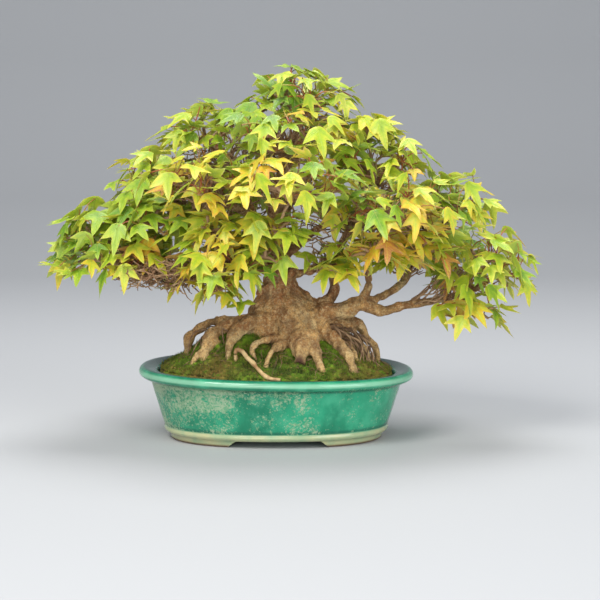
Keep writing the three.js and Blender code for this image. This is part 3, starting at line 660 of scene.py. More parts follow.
MOSS_SHADE, MOSS_FRESH = (0.008, 0.026, 0.002), (0.24, 0.46, 0.014)
MOSS_BROWN, MOSS_TIPS = (0.25, 0.11, 0.032), (0.38, 0.54, 0.03)
MOSS_SPECKS = [
    (330, 0.6, 0.05, 0.7, (0.42, 0.25, 0.06)),
    (150, 0.57, 0.06, 0.75, (0.015, 0.024, 0.004)),
]
moss_green, tree, shader = new_material("moss_green", 0.9)
tone_and_tuft_shade_mask, tip_mask, litter_mask, _ = painted(tree, "growth")
# Towards MOSS_SHADE where the hollows between tufts are painted in shade, and where the moss is
# darker by chance.
tint = blend(tree, tone_and_tuft_shade_mask, MOSS_SHADE, MOSS_FRESH)
brown = times(tree, litter_mask, patches(tree, 170, 0.43, 0.06))
tint = layered(tree, blend(tree, brown, tint, MOSS_BROWN), MOSS_SPECKS)
tint = blend(tree, times(tree, tip_mask, 0.4), tint, MOSS_TIPS)
feed(tree, shader.inputs["Base Color"], tint)
relief(tree, shader, cloud(tree, 700), 0.003)
for piece in (moss, shoots):
    piece.data.materials.append(moss_green)
    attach(piece, "root")
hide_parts("moss")
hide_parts("moss")

# Dry leaf scraps and crumbs of bark lie on the moss.
CRUMBS = 900
random = np.random.default_rng(17)
crumb_x, crumb_y = scattered(CRUMBS, 18, 86)
crumb_middle = np.stack([crumb_x, crumb_y, moss_height(crumb_x, crumb_y) + 1.1], axis=1)
crumb_middle[:, 2] += mounds(crumb_middle)
long_way = random.normal(0, 1, (CRUMBS, 3)) * [1, 1, 0.35]
long_way /= np.linalg.norm(long_way, axis=1, keepdims=True)
wide_way = np.cross(long_way, [0.1, 0.2, 1.0])
thick_way = np.cross(long_way, wide_way)
half = random.uniform(0.5, 1.7, (CRUMBS, 1))
crumb_points = np.stack(
    [
        crumb_middle + half * long_way,
        crumb_middle + 0.55 * half * wide_way,
        crumb_middle - half * long_way,
        crumb_middle - 0.5 * half * wide_way,
        crumb_middle + 0.3 * thick_way,
        crumb_middle - 0.3 * thick_way,
    ],
    axis=1,
).reshape(-1, 3)
first = np.arange(CRUMBS)[:, None, None] * 6
sides = [[0, 1, 4], [1, 2, 4], [2, 3, 4], [3, 0, 4], [1, 0, 5], [2, 1, 5], [3, 2, 5], [0, 3, 5]]
crumb_faces = (first + np.array(sides)).reshape(-1, 3)
crumbs = add_mesh("dry_scraps", metres(crumb_points), crumb_faces, smooth=False)
paint(crumbs.data, "growth", [np.repeat(random.random(CRUMBS), 6), 0, 0])
clean(crumbs, 1e-7)
SCRAP_DARK, SCRAP_LIGHT, SCRAP_STAIN = (0.12, 0.05, 0.018), (0.55, 0.32, 0.10), (0.16, 0.10, 0.05)
scrap_brown, tree, shader = new_material("scrap_brown", 0.8)
tint = blend(tree, painted(tree, "growth")[0], SCRAP_DARK, SCRAP_LIGHT)
tint = blend(tree, patches(tree, 500, 0.5, 0.2), tint, SCRAP_STAIN)
feed(tree, shader.inputs["Base Color"], tint)
crumbs.data.materials.append(scrap_brown)
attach(crumbs, "root")

# Trunk, roots and boughs
# One live piece of wood: a short trunk that flares into roots which grip the mound, and
# boughs that fork to the hubs of the leaf pads. Bark is smooth, with lumps and scars.

TRUNK = [
    (8, 0, 57, 33, 24), (9, 0, 72, 37, 28), (9, 0, 86, 34.5, 27.5), (8, 0, 97, 28.5, 24),
    (6, 0, 106, 21.5, 19), (4, 0, 115, 15, 14), (3, 0, 124, 11.5, 11), (2, 0, 135, 8.4, 8.6),
    (0, 0, 147, 8, 8), (-2, 1, 162, 6.4, 6.4), (0, 2, 188, 4.6, 4.6), (7, 2, 214, 3.6, 3.6),
    (16, 1, 240, 2.6, 2.6), (19, 0, 258, 1.8, 1.8),
]
ROOTS = [
    [(-22, -2, 88, 7), (-46, -4, 90.5, 3.6), (-61, -5, 84, 3.4), (-67.5, -6, 78, 4.2),
     (-68.5, -8, 70, 3.2), (-70, -10, 58, 2)],
    [(-16, -8, 88, 8), (-34, -12, 90, 5.5), (-47, -17, 83, 5), (-53, -23, 75, 5.6),
     (-54, -30, 67, 3.6), (-55, -35, 58, 2)],
    [(-10, -12, 92, 9), (-23, -20, 90, 5.6), (-32.5, -24, 82.5, 4.8), (-36, -31, 75, 3.6),
     (-37, -38, 65, 2)],
    [(-28, -14, 80, 4), (-55, -25, 70, 3), (-61.5, -31, 65, 2.6), (-64, -36, 56, 1.6)],
    [(2, -22, 80, 6), (-6, -32, 79.5, 3), (-15, -36, 77, 2.4), (-19, -39, 73, 2),
     (-15, -46, 67, 1.4), (-15, -50, 59, 1)],
    [(6, -28, 76, 5), (-1, -41, 73, 2.4), (-6, -46, 66, 1.6)],
    [(14, -14, 88, 13), (19, -31, 79, 8.6), (19, -42, 71, 6.4), (18, -47, 63, 5)],
    [(18, -14, 88, 9), (28, -31, 78, 5), (32, -41, 69, 4), (35, -47, 59, 3)],
    [(28, -6, 86, 9), (40, -14, 82, 5.2), (50, -24, 73, 4.4), (56, -34, 65.5, 4.2),
     (59, -41, 57, 3.4)],
    [(34, -4, 86, 6), (51, -9, 80, 2.6), (59, -19, 70, 2.2), (64, -28, 58, 1.4)],
    [(36, 0, 88, 7), (56, 1, 87, 3), (65, -4, 75, 2.6), (71, -12, 63, 2), (74, -15, 54, 1.4)],
    [(36, 4, 88, 7), (52, 6, 90.5, 3.4), (65, 6, 87, 3.6), (70, 5, 77, 3), (77, 3, 68.5, 3.2),
     (79, 2, 55, 2)],
    [(30, 10, 86, 8), (46, 19, 82, 5), (59, 28, 70, 4.4), (65, 34, 58, 3)],
    [(20, 14, 86, 9), (29, 30, 80, 6), (36, 42, 69, 5), (40, 50, 57, 3)],
    [(6, 16, 86, 10), (7, 33, 79, 6), (4, 46, 68, 5), (3, 53, 56, 3)],
    [(-10, 14, 86, 9), (-21, 29, 80, 5.4), (-29, 41, 69, 4.6), (-32, 48, 58, 3)],
    [(-18, 8, 86, 8), (-38, 17, 82, 5), (-51, 26, 72, 4.4), (-58, 32, 60, 2.6)],
]
# A bough's wood runs to its hub, and its pad of foliage has a centre and radii. Its
# sprays, its leaves and how low they hang are as in the solid model.
PAD_FACTS = ("slot", "sprays", "leaves", "lowest", "centre", "radii", "wood")
BOUGHS = {
    name: dict(zip(PAD_FACTS, facts))
    for name, *facts in [
        ("left_low", "leaf_lime", 4, 27, -0.35, (-125, -18, 138), (50, 46, 27), [
            (0, -1, 133, 6), (-21, -7, 137, 5), (-51.5, -13, 131, 4.2), (-84, -17, 131, 3.4),
            (-115, -18, 129, 2.6),
        ]),
        ("left_middle", "leaf_lime", 3, 18, -0.1, (-89, 2, 188), (40, 46, 37), [
            (-2, 0, 156, 5), (-26, 0, 166, 4), (-57, 2, 177, 3.2), (-87, 3, 181, 2.5),
        ]),
        ("left_upper", "leaf_green", 3, 17, 0, (-45, -2, 225), (44, 46, 34), [
            (0, 0, 148, 6), (-12, -4, 158, 4.8), (-18.5, -6, 176, 4), (-30, -6, 198, 3.2),
            (-43, -3, 214, 2.5),
        ]),
        ("top", "leaf_green", 3, 17, 0.05, (20, 2, 250), (46, 44, 34), [
            (14, 1, 232, 2.8), (18.5, 0, 246, 2.6), (21, 2, 256, 2.4),
        ]),
        ("top_front", "leaf_lime", 3, 16, -0.1, (7, -42, 226), (50, 36, 30), [
            (3, 1, 204, 4), (4.5, -14, 215, 3), (7, -32, 224, 2.4),
        ]),
        ("top_back", "leaf_green", 2, 12, -0.1, (11, 46, 220), (48, 36, 31), [
            (6, 2, 208, 4), (10.5, 20, 215, 3), (12, 38, 220, 2.4),
        ]),
        ("right_upper", "leaf_lime", 3, 17, -0.05, (79, 0, 202), (44, 46, 33), [
            (30, 6, 96, 9), (41.5, 8, 107, 5.4), (45.5, 10, 118, 4.4), (44.5, 12, 132, 3.8),
            (53, 10, 152, 3.2), (67.5, 6, 180, 2.8), (77, 2, 195, 2.4),
        ]),
        ("right_middle", "leaf_green", 3, 18, -0.1, (128, -2, 169), (43, 46, 34), [
            (66, -12, 107, 4.6), (71, -12, 118, 3.4), (71.5, -12, 134, 3), (80, -9, 150, 2.8),
            (103.5, -4, 162, 2.6), (121, -2, 166, 2.4),
        ]),
        ("right_low", "leaf_green", 4, 20, -0.45, (161, -14, 126), (38, 42, 34), [
            (22, -6, 90, 15), (40.5, -11, 98, 8.6), (56, -12, 101, 6.4), (66.5, -12, 105, 5.4),
            (82.5, -13, 99.5, 4), (99, -14, 104, 3.4), (122.5, -15, 108, 2.9),
            (147, -15, 114, 2.4),
        ]),
        ("right_back", "leaf_green", 3, 16, -0.15, (109, 50, 140.5), (52, 42, 34), [
            (68, -12, 105, 4.8), (77, -4, 107.5, 3.8), (88.5, 8, 112, 3.2), (102, 22, 120, 2.8),
            (109, 40, 131.5, 2.4),
        ]),
        ("low_front_right", "leaf_green", 1, 5, 0.1, (43, -46, 138), (22, 17, 12), [
            (3, -2, 126, 5), (17, -5, 128.5, 3.6), (30, -14, 132.5, 2.9), (39, -30, 139, 2.4),
        ]),
        ("right_front", "leaf_yellow", 3, 18, -0.2, (87, -62, 171), (48, 38, 31), [
            (1, 0, 141, 6), (15.5, -4, 148.5, 4), (27, -9, 159, 3.5), (42, -20, 169, 3),
            (63.5, -42, 170.5, 2.6), (81, -54, 169, 2.4),
        ]),
        ("front", "leaf_yellow", 4, 20, -0.25, (13, -76, 193.5), (52, 36, 34), [
            (0, -1, 152, 5), (5, -24, 167, 3.8), (10, -50, 182.5, 3), (12, -68, 189.5, 2.5),
        ]),
        ("left_front_upper", "leaf_green", 3, 17, -0.25, (-57, -60, 193), (42, 36, 34), [
            (-2, 0, 160, 5), (-16, -20, 173, 3.6), (-36, -42, 184, 2.9), (-53, -56, 189, 2.4),
        ]),
        ("left_front_low", "leaf_yellow", 4, 20, -0.5, (-40, -62, 138), (37, 32, 30), [
            (1, -3, 128, 6), (-13, -22, 135, 4), (-29, -42, 139, 3), (-38, -56, 139, 2.5),
        ]),
        ("left_back", "leaf_lime", 3, 17, -0.2, (-83, 64, 162), (50, 40, 37), [
            (-1, 3, 150, 5), (-23, 22, 153, 3.8), (-52, 46, 156, 3), (-79, 60, 157, 2.5),
        ]),
        ("back", "leaf_lime", 3, 17, -0.25, (5, 82, 177), (50, 36, 40), [
            (0, 3, 156, 5), (2, 28, 166.5, 3.8), (3, 56, 173.5, 3), (4, 76, 174, 2.5),
        ]),
    ]
}
GOLDEN_ANGLE = math.pi * (3 - math.sqrt(5))
CUT_ROOT = 6  # sawn off at the front, so its end shows
SLENDER_ROOTS = (3, 4, 5, 9)  # these raise no ridge on the trunk
TRUNK_ENDS = [[8, 0, 57], [19, 0, 259]]
# Each ridge passes these ovals of the trunk: x, y, z, half width, half depth, and radius.
RIDGE_RINGS = [
    (8, 0, 84, 31, 25, 5.5), (7, 0, 98, 25.5, 21.5, 4.6), (5, 0, 110, 15.5, 14.5, 3.8),
    (3, 0, 122, 9, 9, 2.6),
]
# The stub of a branch that was cut long ago, and a second scar low on the trunk.
SCARS = [
    [(8, -6, 126, 4.4), (13, -11, 129, 3.8), (16, -13.5, 130, 2.6)],
    [(-6, -8, 116, 5), (-12, -12, 115, 4), (-14, -13.5, 115, 3)],
]
SAWN_END, SAWN_REACH = (18, -53, 65.5), 6.5


def smooth_path(points, per_span):
    """A smooth curve through points of any width: between two of them, a cubic whose
    slope at each is half the step from the point before to the point after."""
    p = np.array(points, float)
    ends = np.concatenate([[2 * p[0] - p[1]], p, [2 * p[-1] - p[-2]]])
    a, b, c, d = ends[:-3, None], ends[1:-2, None], ends[2:-1, None], ends[3:, None]
    t = np.linspace(0, 1, per_span, endpoint=False)[None, :, None]
    curve = 0.5 * (
        2 * b + (c - a) * t + (2 * a - 5 * b + 4 * c - d) * t**2 + (3 * b - a - 3 * c + d) * t**3
    )
    return np.concatenate([curve.reshape(-1, p.shape[1]), p[-1:]])


def bar_faces(count, sides):
    """The triangles of a closed bar of count rings: its sides, and at each end a fan to
    a point. The two end points come after the rings."""
    quads = grid_faces(count, sides, True)
    k = np.arange(sides)
    low = np.stack([(k + 1) % sides, k, np.full(sides, count * sides)], axis=1)
    top = (count - 1) * sides
    high = np.stack([top + k, top + (k + 1) % sides, np.full(sides, count * sides + 1)], axis=1)
    return np.concatenate([quads[:, [0, 1, 2]], quads[:, [0, 2, 3]], low, high])


def tube(path, sides):
    """A round bar along a path of x, y, z and radius: rings square to the path, each
    turned to the same side vector, and a point that closes each end."""
    path = np.asarray(path, float)
    middle, radius = path[:, :3], path[:, 3:4]
    along = np.gradient(middle, axis=0)
    along /= np.linalg.norm(along, axis=1, keepdims=True)
    upright = np.abs(along[:, 2]).mean() >= 0.7
    side = np.array([1.0, 0.3, 0.0] if upright else [0.0, 0.0, 1.0])
    across = side - along * (along @ side)[:, None]
    across /= np.linalg.norm(across, axis=1, keepdims=True)
    third = np.cross(along, across)
    turn = (np.arange(sides) / sides * 2 * np.pi)[None, :, None]
    ring = np.cos(turn) * across[:, None] + np.sin(turn) * third[:, None]
    points = (middle[:, None] + radius[:, None] * ring).reshape(-1, 3)
    return np.concatenate([points, middle[:1], middle[-1:]]), bar_faces(len(path), sides)


def joined(parts):
    """Many pairs of points and faces as one pair."""
    offset, points, faces = 0, [], []
    for part_points, part_faces in parts:
        points.append(part_points)
        faces.append(part_faces + offset)
        offset += len(part_points)
    return np.concatenate(points), np.concatenate(faces)


def add_parts(name, parts):
    """One object from many bars or leaves, in millimetres from the middle of the pot."""
    points, faces = joined(parts)
    return add_mesh(name, metres(points), faces)


def pad_point(bough, i, count, phase, share=1.0):
    """Point i of count on a bough's pad and the way out from it: the golden angle winds
    down from the top, at a share of the pad's radii."""
    level = 1 - (1 - bough["lowest"]) * (i + 0.5) / count
    ring = math.sqrt(1 - level * level)
    turn = i * GOLDEN_ANGLE + phase
    way = np.array([ring * math.cos(turn), ring * math.sin(turn), level])
    radii = np.array(bough["radii"], float)
    outward = way / radii
    return np.array(bough["centre"]) + way * radii * share, outward / np.linalg.norm(outward)


def spray_fork(bough, index, k):
    """The hub of a bough and the fork of its spray k, half way to the pad's skin."""
    hub = np.array(bough["wood"][-1][:3], float)
    anchor = pad_point(bough, k, bough["sprays"], index, 0.62)[0]
    rise = 0.06 * np.linalg.norm(anchor - hub)
    return hub, (hub + anchor) / 2 + [0, 0, rise]


def trunk_surface():
    """The trunk's rings, smoothed, with shallow flutes that deepen towards the roots."""
    rings = smooth_path(TRUNK, 7)
    turns = 72
    turn = np.arange(turns) / turns * 2 * np.pi
    middle_x, middle_y, z, wide, deep = (rings[:, k : k + 1] for k in range(5))
    z = z + 0 * turn
    spread = np.clip((118 - z) / 40, 0, 1)
    circle = np.stack([np.cos(turn) * 3, np.sin(turn) * 3, 0 * turn], axis=1)
    climb = [0, 0, 0.5] * z.reshape(-1, 1) / 40
    flute = lumps(np.tile(circle, (len(rings), 1)) + climb, 1.0, 21)
    swell = 1 + (0.05 + 0.09 * spread) * flute.reshape(z.shape)
    x = middle_x + wide * swell * np.cos(turn)
    y = middle_y + deep * swell * np.sin(turn)
    points = np.stack([x, y, z], axis=-1).reshape(-1, 3)
    return np.concatenate([points, TRUNK_ENDS]), bar_faces(len(rings), turns)


def knotted(path, seed, amount):
    """A path whose radius swells and shrinks along it, and which wanders a little."""
    path = smooth_path(path, 6)
    swell = lumps(path[:, :3], 9, seed)
    path[:, 3] *= 1 + amount * swell + 0.8 * amount * lumps(path[:, :3], 4.5, seed + 1)
    slim = path[:, 3] < 9
    path[:, 0] += 1.1 * lumps(path[:, :3], 11, seed + 2) * slim
    path[:, 1] += 0.8 * lumps(path[:, :3], 11, seed + 3) * slim
    return path


def ridge(root, seed):
    """The swelling that a root makes up the trunk: from the neck down its flank."""
    away = math.atan2(root[1][1], root[1][0] - 8)
    flank = [
        (x + wide * math.cos(away), y + deep * math.sin(away), z, radius)
        for x, y, z, wide, deep, radius in RIDGE_RINGS
    ]
    return knotted([root[1], *flank], seed, 0.16)


def sunk(root):
    """A root that goes on outwards and down until it tapers out under the moss."""
    before, end = np.array(root[-2], float), np.array(root[-1], float)
    away = (end - before)[:2] / (np.linalg.norm((end - before)[:2]) + 0.5)
    x, y = end[:2] + 2.5 * away
    under = moss_height(np.array([x]), np.array([y]))[0] - 5
    return [*root, (x, y, min(under, end[2] - 2), 0.8 * end[3])]


wood_parts = [trunk_surface()]
wood_parts += [
    tube(knotted(root if i == CUT_ROOT else sunk(root), 30 + 3 * i, 0.2), 14)
    for i, root in enumerate(ROOTS)
]
wood_parts += [
    tube(ridge(root, 90 + 3 * i), 12) for i, root in enumerate(ROOTS) if i not in SLENDER_ROOTS
]
wood_parts += [
    tube(knotted(bough["wood"], 150 + 3 * i, 0.13), 12) for i, bough in enumerate(BOUGHS.values())
]
for index, bough in enumerate(BOUGHS.values()):
    for k in range(bough["sprays"]):
        hub, fork = spray_fork(bough, index, k)
        wood_parts.append(tube(smooth_path([(*hub, 2.4), (*fork, 1.9)], 4), 8))
wood_parts += [tube(smooth_path(scar, 4), 10) for scar in SCARS]
tree_wood = add_parts("tree_wood", wood_parts)
skin = tree_wood.modifiers.new("skin", "REMESH")
skin.mode = "VOXEL"
skin.voxel_size = 1.05 * MM
calm = tree_wood.modifiers.new("calm", "SMOOTH")
calm.iterations = 3
graph = bpy.context.evaluated_depsgraph_get()
tree_wood.data = bpy.data.meshes.new_from_object(tree_wood.evaluated_get(graph))
tree_wood.modifiers.clear()
spots = point_places(tree_wood.data)
normals = np.empty(len(spots) * 3)
tree_wood.data.vertices.foreach_get("normal", normals)
normals = normals.reshape(-1, 3)
stout = step(np.linalg.norm(spots - [8, 0, 88], axis=1), 95, 40)
warp = spots + 3 * np.stack([lumps(spots, 14, seed) for seed in (61, 62, 63)], axis=1)
wrinkle = lumps(warp * [1, 1, 0.45], 5.5, 64)
fine = lumps(warp * [1, 1, 0.5], 2.4, 65)
creases = -np.abs(lumps(warp * [1, 1, 0.35], 8, 66))
depth = (0.3 + 0.7 * stout) * (1.15 * wrinkle + 0.75 * fine + 1.7 * creases + 0.45)
moved = spots + normals * depth[:, None]
tree_wood.data.vertices.foreach_set("co", metres(moved).ravel())
tree_wood.data.shade_smooth()
tree_wood.data.update()
# Painted shade: the colour darkens where the bark's relief dips into creases and between the roots.
crevice_shade = np.clip(0.45 - 0.75 * (0.7 * wrinkle + 0.6 * fine + 1.2 * creases + 0.35), 0, 1)
low_root = step(spots[:, 2], 84, 66)
ruddy = step(spots[:, 2], 96, 118) * (1 - step(np.abs(spots[:, 0]), 40, 90))
sawn = np.exp(-(np.linalg.norm(spots - np.array(SAWN_END), axis=1) / SAWN_REACH) ** 4)
paint(tree_wood.data, "bark_marks_and_shade", [crevice_shade, low_root, ruddy, sawn])

BARK_DARK, BARK_LIGHT = (0.47, 0.215, 0.068), (0.76, 0.45, 0.16)
BARK_RUDDY, BARK_LOW, BARK_CREVICE_SHADE = (0.50, 0.16, 0.055), (0.86, 0.60, 0.25), (0.12, 0.055, 0.022)
SAWN_WOOD = (0.075, 0.022, 0.014)
BARK_FLECKS = [
    (520, 0.54, 0.06, 0.5, (0.88, 0.69, 0.36)),
    (270, 0.55, 0.05, 0.45, (0.20, 0.09, 0.032)),
    (800, 0.56, 0.05, 0.4, (0.15, 0.065, 0.025)),
]
bark, tree, shader = new_material("bark", 0.82)
crevice_shade_mask, low_mask, ruddy_mask, sawn_mask = painted(tree, "bark_marks_and_shade")
tint = blend(tree, patches(tree, 70, 0.5, 0.16), BARK_DARK, BARK_LIGHT)
tint = layered(tree, tint, [(46, 0.57, 0.06, 0.8, (0.84, 0.62, 0.29))])
ruddy_patches = times(tree, patches(tree, 60, 0.48, 0.1), 0.7)
tint = blend(tree, times(tree, ruddy_mask, ruddy_patches), tint, BARK_RUDDY)
tint = blend(tree, times(tree, low_mask, 0.65), tint, BARK_LOW)
tint = layered(tree, tint, BARK_FLECKS)
# Painted shade in the bark's creases and between the roots.
tint = blend(tree, times(tree, crevice_shade_mask, 0.62), tint, BARK_CREVICE_SHADE)
tint = blend(tree, sawn_mask, tint, SAWN_WOOD)
feed(tree, shader.inputs["Base Color"], tint)
fine_grit = times(tree, cloud(tree, 900, 0.3, 0.7), 0.5)
relief(tree, shader, maths(tree, "ADD", cloud(tree, 330, 0.35, 0.6), fine_grit), 0.0042)
tree_wood.data.materials.append(bark)
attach(tree_wood, "root")
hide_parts("tree")

# Bare twigs and root hairs
# Inside the crown the boughs carry short bare twigs, thickest in the low left bough, and
# where the roots enter the moss they carry hair-like dry rootlets.

TWIGS_PER_BOUGH = {
    "left_low": 90, "left_front_low": 36, "left_middle": 44, "left_upper": 44, "right_front": 40,
}
TWIGS_ELSEWHERE = 26
# Thickets of fine dead twigs, the densest at the old low left bough. Each is given as its
# middle, its radii and a number of twigs.
THICKETS = [
    ((-82, -44, 132), (40, 18, 11), 420),
    ((-40, -34, 186), (24, 22, 18), 110),
    ((-48, -20, 214), (30, 22, 14), 70),
    ((40, -44, 168), (26, 22, 16), 80),
]


def zigzag(start, way, reach, thick, random):
    """A twig that starts one way, turns upwards and jogs at each bud."""
    steps = np.linspace(0, 1, 5)[:, None]
    jogs = np.cumsum(random.normal(0, 0.07, (5, 3)), axis=0) * reach
    jogs[0] = 0
    path = start + steps * way * reach + steps**2 * np.array([0, 0, 0.22]) * reach + jogs
    return np.concatenate([path, thick * (1 - 0.5 * steps)], axis=1)


def unit(vector):
    """The vector at a length of 1."""
    return vector / np.linalg.norm(vector)


twig_parts = []
random = np.random.default_rng(41)
for name, bough in BOUGHS.items():
    line = smooth_path(bough["wood"], 8)
    outer = line[int(len(line) * 0.72):]
    middle, radii = np.array(bough["centre"], float), np.array(bough["radii"], float)
    for _ in range(TWIGS_PER_BOUGH.get(name, TWIGS_ELSEWHERE)):
        start = outer[random.integers(len(outer))][:3]
        aim = unit(random.normal(0, 1, 3) + [0, 0, 0.25]) * radii * random.uniform(0.4, 0.78)
        gap = middle + aim - start
        first = zigzag(start, unit(gap), min(np.linalg.norm(gap), 26), 0.9, random)
        twig_parts.append(tube(first, 5))
        for _ in range(random.integers(1, 4)):
            fork = first[random.integers(2, 4)][:3]
            side_way = unit(unit(gap) + random.normal(0, 0.55, 3))
            shoot = zigzag(fork, side_way, random.uniform(5, 12), 0.55, random)
            twig_parts.append(tube(shoot, 4))
for middle, radii, count in THICKETS:
    for _ in range(count):
        inside = unit(random.normal(0, 1, 3)) * random.random() ** 0.4
        start = np.array(middle) + inside * radii
        way = unit(random.normal(0, 1, 3) * [1.3, 0.8, 0.55] + [-0.4, -0.2, -0.1])
        twig_parts.append(tube(zigzag(start, way, random.uniform(6, 17), 0.62, random), 4))
twigs = add_parts("bare_twigs", twig_parts)

twig_bark = mottled(
    "twig_bark", 0.8, (90, 0.5, 0.15), (0.24, 0.125, 0.06), (0.44, 0.28, 0.15),
    layers=[(300, 0.6, 0.05, 0.6, (0.47, 0.37, 0.25))], bump=(900, 0.0002, 0.6),
)
twigs.data.materials.append(twig_bark)
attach(twigs, "root")

hair_parts = []
for root in ROOTS:
    tip_x, tip_y = root[-2][0], root[-2][1]
    for _ in range(6):
        x = tip_x + random.normal(0, 5)
        y = tip_y + random.normal(0, 5)
        turn = random.uniform(0, 2 * math.pi)
        steps = np.linspace(0, 1, 6)
        reach = random.uniform(7, 17)
        xs = x + reach * steps * math.cos(turn) + np.cumsum(random.normal(0, 1.0, 6))
        ys = y + reach * steps * math.sin(turn) + np.cumsum(random.normal(0, 1.0, 6))
        zs = moss_height(xs, ys) + 0.8 + 2.4 * np.sin(steps * math.pi) * random.uniform(0.3, 1)
        hair_parts.append(tube(np.stack([xs, ys, zs, 0.24 - 0.08 * steps], axis=1), 4))
# A tangle of thin roots hangs from the arch on the right, and a few from the left.
for middle_x, middle_y, side, count in ((50, -6, 1, 26), (-44, -8, -1, 10)):
    for _ in range(count):
        start = np.array([middle_x, middle_y, 84]) + random.normal(0, 1, 3) * [7, 6, 2.5]
        x = start[0] + side * random.uniform(4, 24)
        y = start[1] - random.uniform(0, 17)
        ground = moss_height(np.array([x]), np.array([y]))[0]
        bow = (start + [x, y, ground]) / 2 + [side * 4, -2, 4] + random.normal(0, 2, 3)
        run = smooth_path([start, bow, np.array([x, y, ground - 1])], 6)
        thick = np.linspace(0.75, 0.4, len(run)) * random.uniform(0.7, 1.4)
        hair_parts.append(tube(np.concatenate([run, thick[:, None]], axis=1), 5))
root_hairs = add_parts("root_hairs", hair_parts)
hair_brown = mottled(
    "hair_brown", 0.85, (120, 0.5, 0.15), (0.11, 0.058, 0.028), (0.33, 0.21, 0.11)
)
root_hairs.data.materials.append(hair_brown)
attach(root_hairs, "root")

# Pale surface root
# One thin pale root arches out of the moss in front and lies down the mound. It grew as
# one piece with knobs along it, and both its ends are in the moss.

PALE_ROOT = [
    (-30.6, -41.5, 62, 1.1), (-30.4, -40.5, 72.5, 1.5), (-26.5, -42, 72.5, 1.6),
    (-21.5, -48.5, 68.2, 1.5), (-15.3, -55, 63, 1.6), (-10.8, -60.5, 58.6, 1.4),
    (-5, -64.2, 55.2, 1.3), (4, -66, 54, 1.1),
]
root_path = smooth_path(PALE_ROOT, 8)
root_path[:, 3] *= 1.05 + 0.3 * lumps(root_path[:, :3], 3.5, 71)
wander = np.stack([lumps(root_path[:, :3], 6, seed) for seed in (72, 73, 74)], axis=1)
root_path[:, :3] += 0.5 * wander
pale_root = add_parts("surface_root", [tube(root_path, 12)])
dry_root = mottled(
    "dry_root", 0.85, (120, 0.5, 0.15), (0.32, 0.17, 0.07), (0.64, 0.46, 0.22),
    bump=(700, 0.0003, 0.6),
)
pale_root.data.materials.append(dry_root)
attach(pale_root, "root")
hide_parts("pale_root")

# Leafy sprays
# Each spray is a fan of twigs with three-lobed leaves on thin reddish stalks. The leaves
# of the solid model keep their places, and many more fill the crown between them.

LEAF_SHORTEST, LEAF_LONGEST = 18.0, 25.5
DROOP_LEAST, DROOP_SHARE, DROOP_SPREAD = 6, 0.5, 34
TREE_AXIS = (8, 0)
TWIGS_PER_SPRAY = 2
FILL_SHARE = 3.4
PAD_SPACING, CLUMP_SPACING = 5.6, 5.0
PAD_CORE = 0.8  # no added leaf grows this deep in another bough's pad
TIP_DROP, TIP_MATCH = 0.14, 0.02
DEGREE = math.pi / 180
# The turns that a solid leaf may have made to get clear of others, sideways and upwards.
TURNS = [
    (0, 0), (0, 14), (0, -14), (26, 5), (-26, 5), (0, 28), (44, 16), (-44, 16), (0, -26),
    (30, -20), (-30, -20),
]


def seeded(seed):
    """The solid model's even random numbers: a counter whose 32 bits are mixed."""
    mask = 0xFFFFFFFF
    state = seed & mask
    while True:
        state = (state + 0x6D2B79F5) & mask
        t = ((state ^ (state >> 15)) * (state | 1)) & mask
        t ^= (t + (((t ^ (t >> 7)) * (t | 61)) & mask)) & mask
        yield ((t ^ (t >> 14)) & mask) / 4294967296


def twig_tips(bough, index):
    """The tips of a bough's twigs, spread evenly under the skin of its pad."""
    count = bough["sprays"] * TWIGS_PER_SPRAY
    return [pad_point(bough, i, count, index + 1, 0.7)[0] for i in range(count)]


def leaf_plan(point, outward, tip, random, freedom=1.0):
    """A leaf's base, axis, upper side and length. It points away from the tip of its
    twig and outwards from the trunk, droops where the pad is steep, and rolls a little.
    More freedom droops it less and swings it further."""
    size = LEAF_SHORTEST + (LEAF_LONGEST - LEAF_SHORTEST) * next(random)
    away = unit(np.array([point[0] - TREE_AXIS[0], point[1] - TREE_AXIS[1]]))
    from_tip = point[:2] - tip[:2]
    heading = 0.6 * away + from_tip / (np.linalg.norm(from_tip) + 4)
    yaw = math.atan2(heading[1], heading[0]) + (next(random) - 0.5) * 70 * DEGREE * freedom
    swing = (next(random) - 0.5) * DROOP_SPREAD * DEGREE * freedom**2
    steep = DROOP_SHARE / freedom * math.acos(outward[2])
    droop = max(DROOP_LEAST * DEGREE, steep) + swing
    roll = (next(random) - 0.5) * 44 * DEGREE * freedom
    level = np.array([math.cos(yaw), math.sin(yaw), 0])
    along = level * math.cos(droop) + [0, 0, -math.sin(droop)]
    flat_up = level * math.sin(droop) + [0, 0, math.cos(droop)]
    up = flat_up * math.cos(roll) + np.cross(flat_up, along) * math.sin(roll)
    lift = (next(random) - 0.5) * 12
    base = point - along * 0.4 * size + outward * lift
    return base, along, up, size


def turned(plan, turn):
    """The leaf turned about its base, sideways in its plane and then upwards."""
    base, along, up, size = plan
    sideways, upwards = turn[0] * DEGREE, turn[1] * DEGREE
    ahead = along * math.cos(sideways) + np.cross(up, along) * math.sin(sideways)
    return (
        base,
        ahead * math.cos(upwards) + up * math.sin(upwards),
        up * math.cos(upwards) - ahead * math.sin(upwards),
        size,
    )


def leaf_middle(plan, share=0.45):
    """A point on the leaf's midrib, at a share of its length from the base."""
    return plan[0] + share * plan[3] * plan[1]


def crowded(middles, middle, spacing):
    """Whether a leaf's middle lies nearer than the spacing to one that is there."""
    return bool(middles) and np.min(np.linalg.norm(np.array(middles) - middle, axis=1)) < spacing


def nearest_of(tips, point):
    """The number of the tip that is nearest to a point."""
    return int(np.argmin([np.linalg.norm(tip - point) for tip in tips]))


def depth_in(bough, point):
    """How deep a point lies in a pad: 1 on its skin, less inside."""
    return np.linalg.norm((point - np.array(bough["centre"])) / np.array(bough["radii"]))


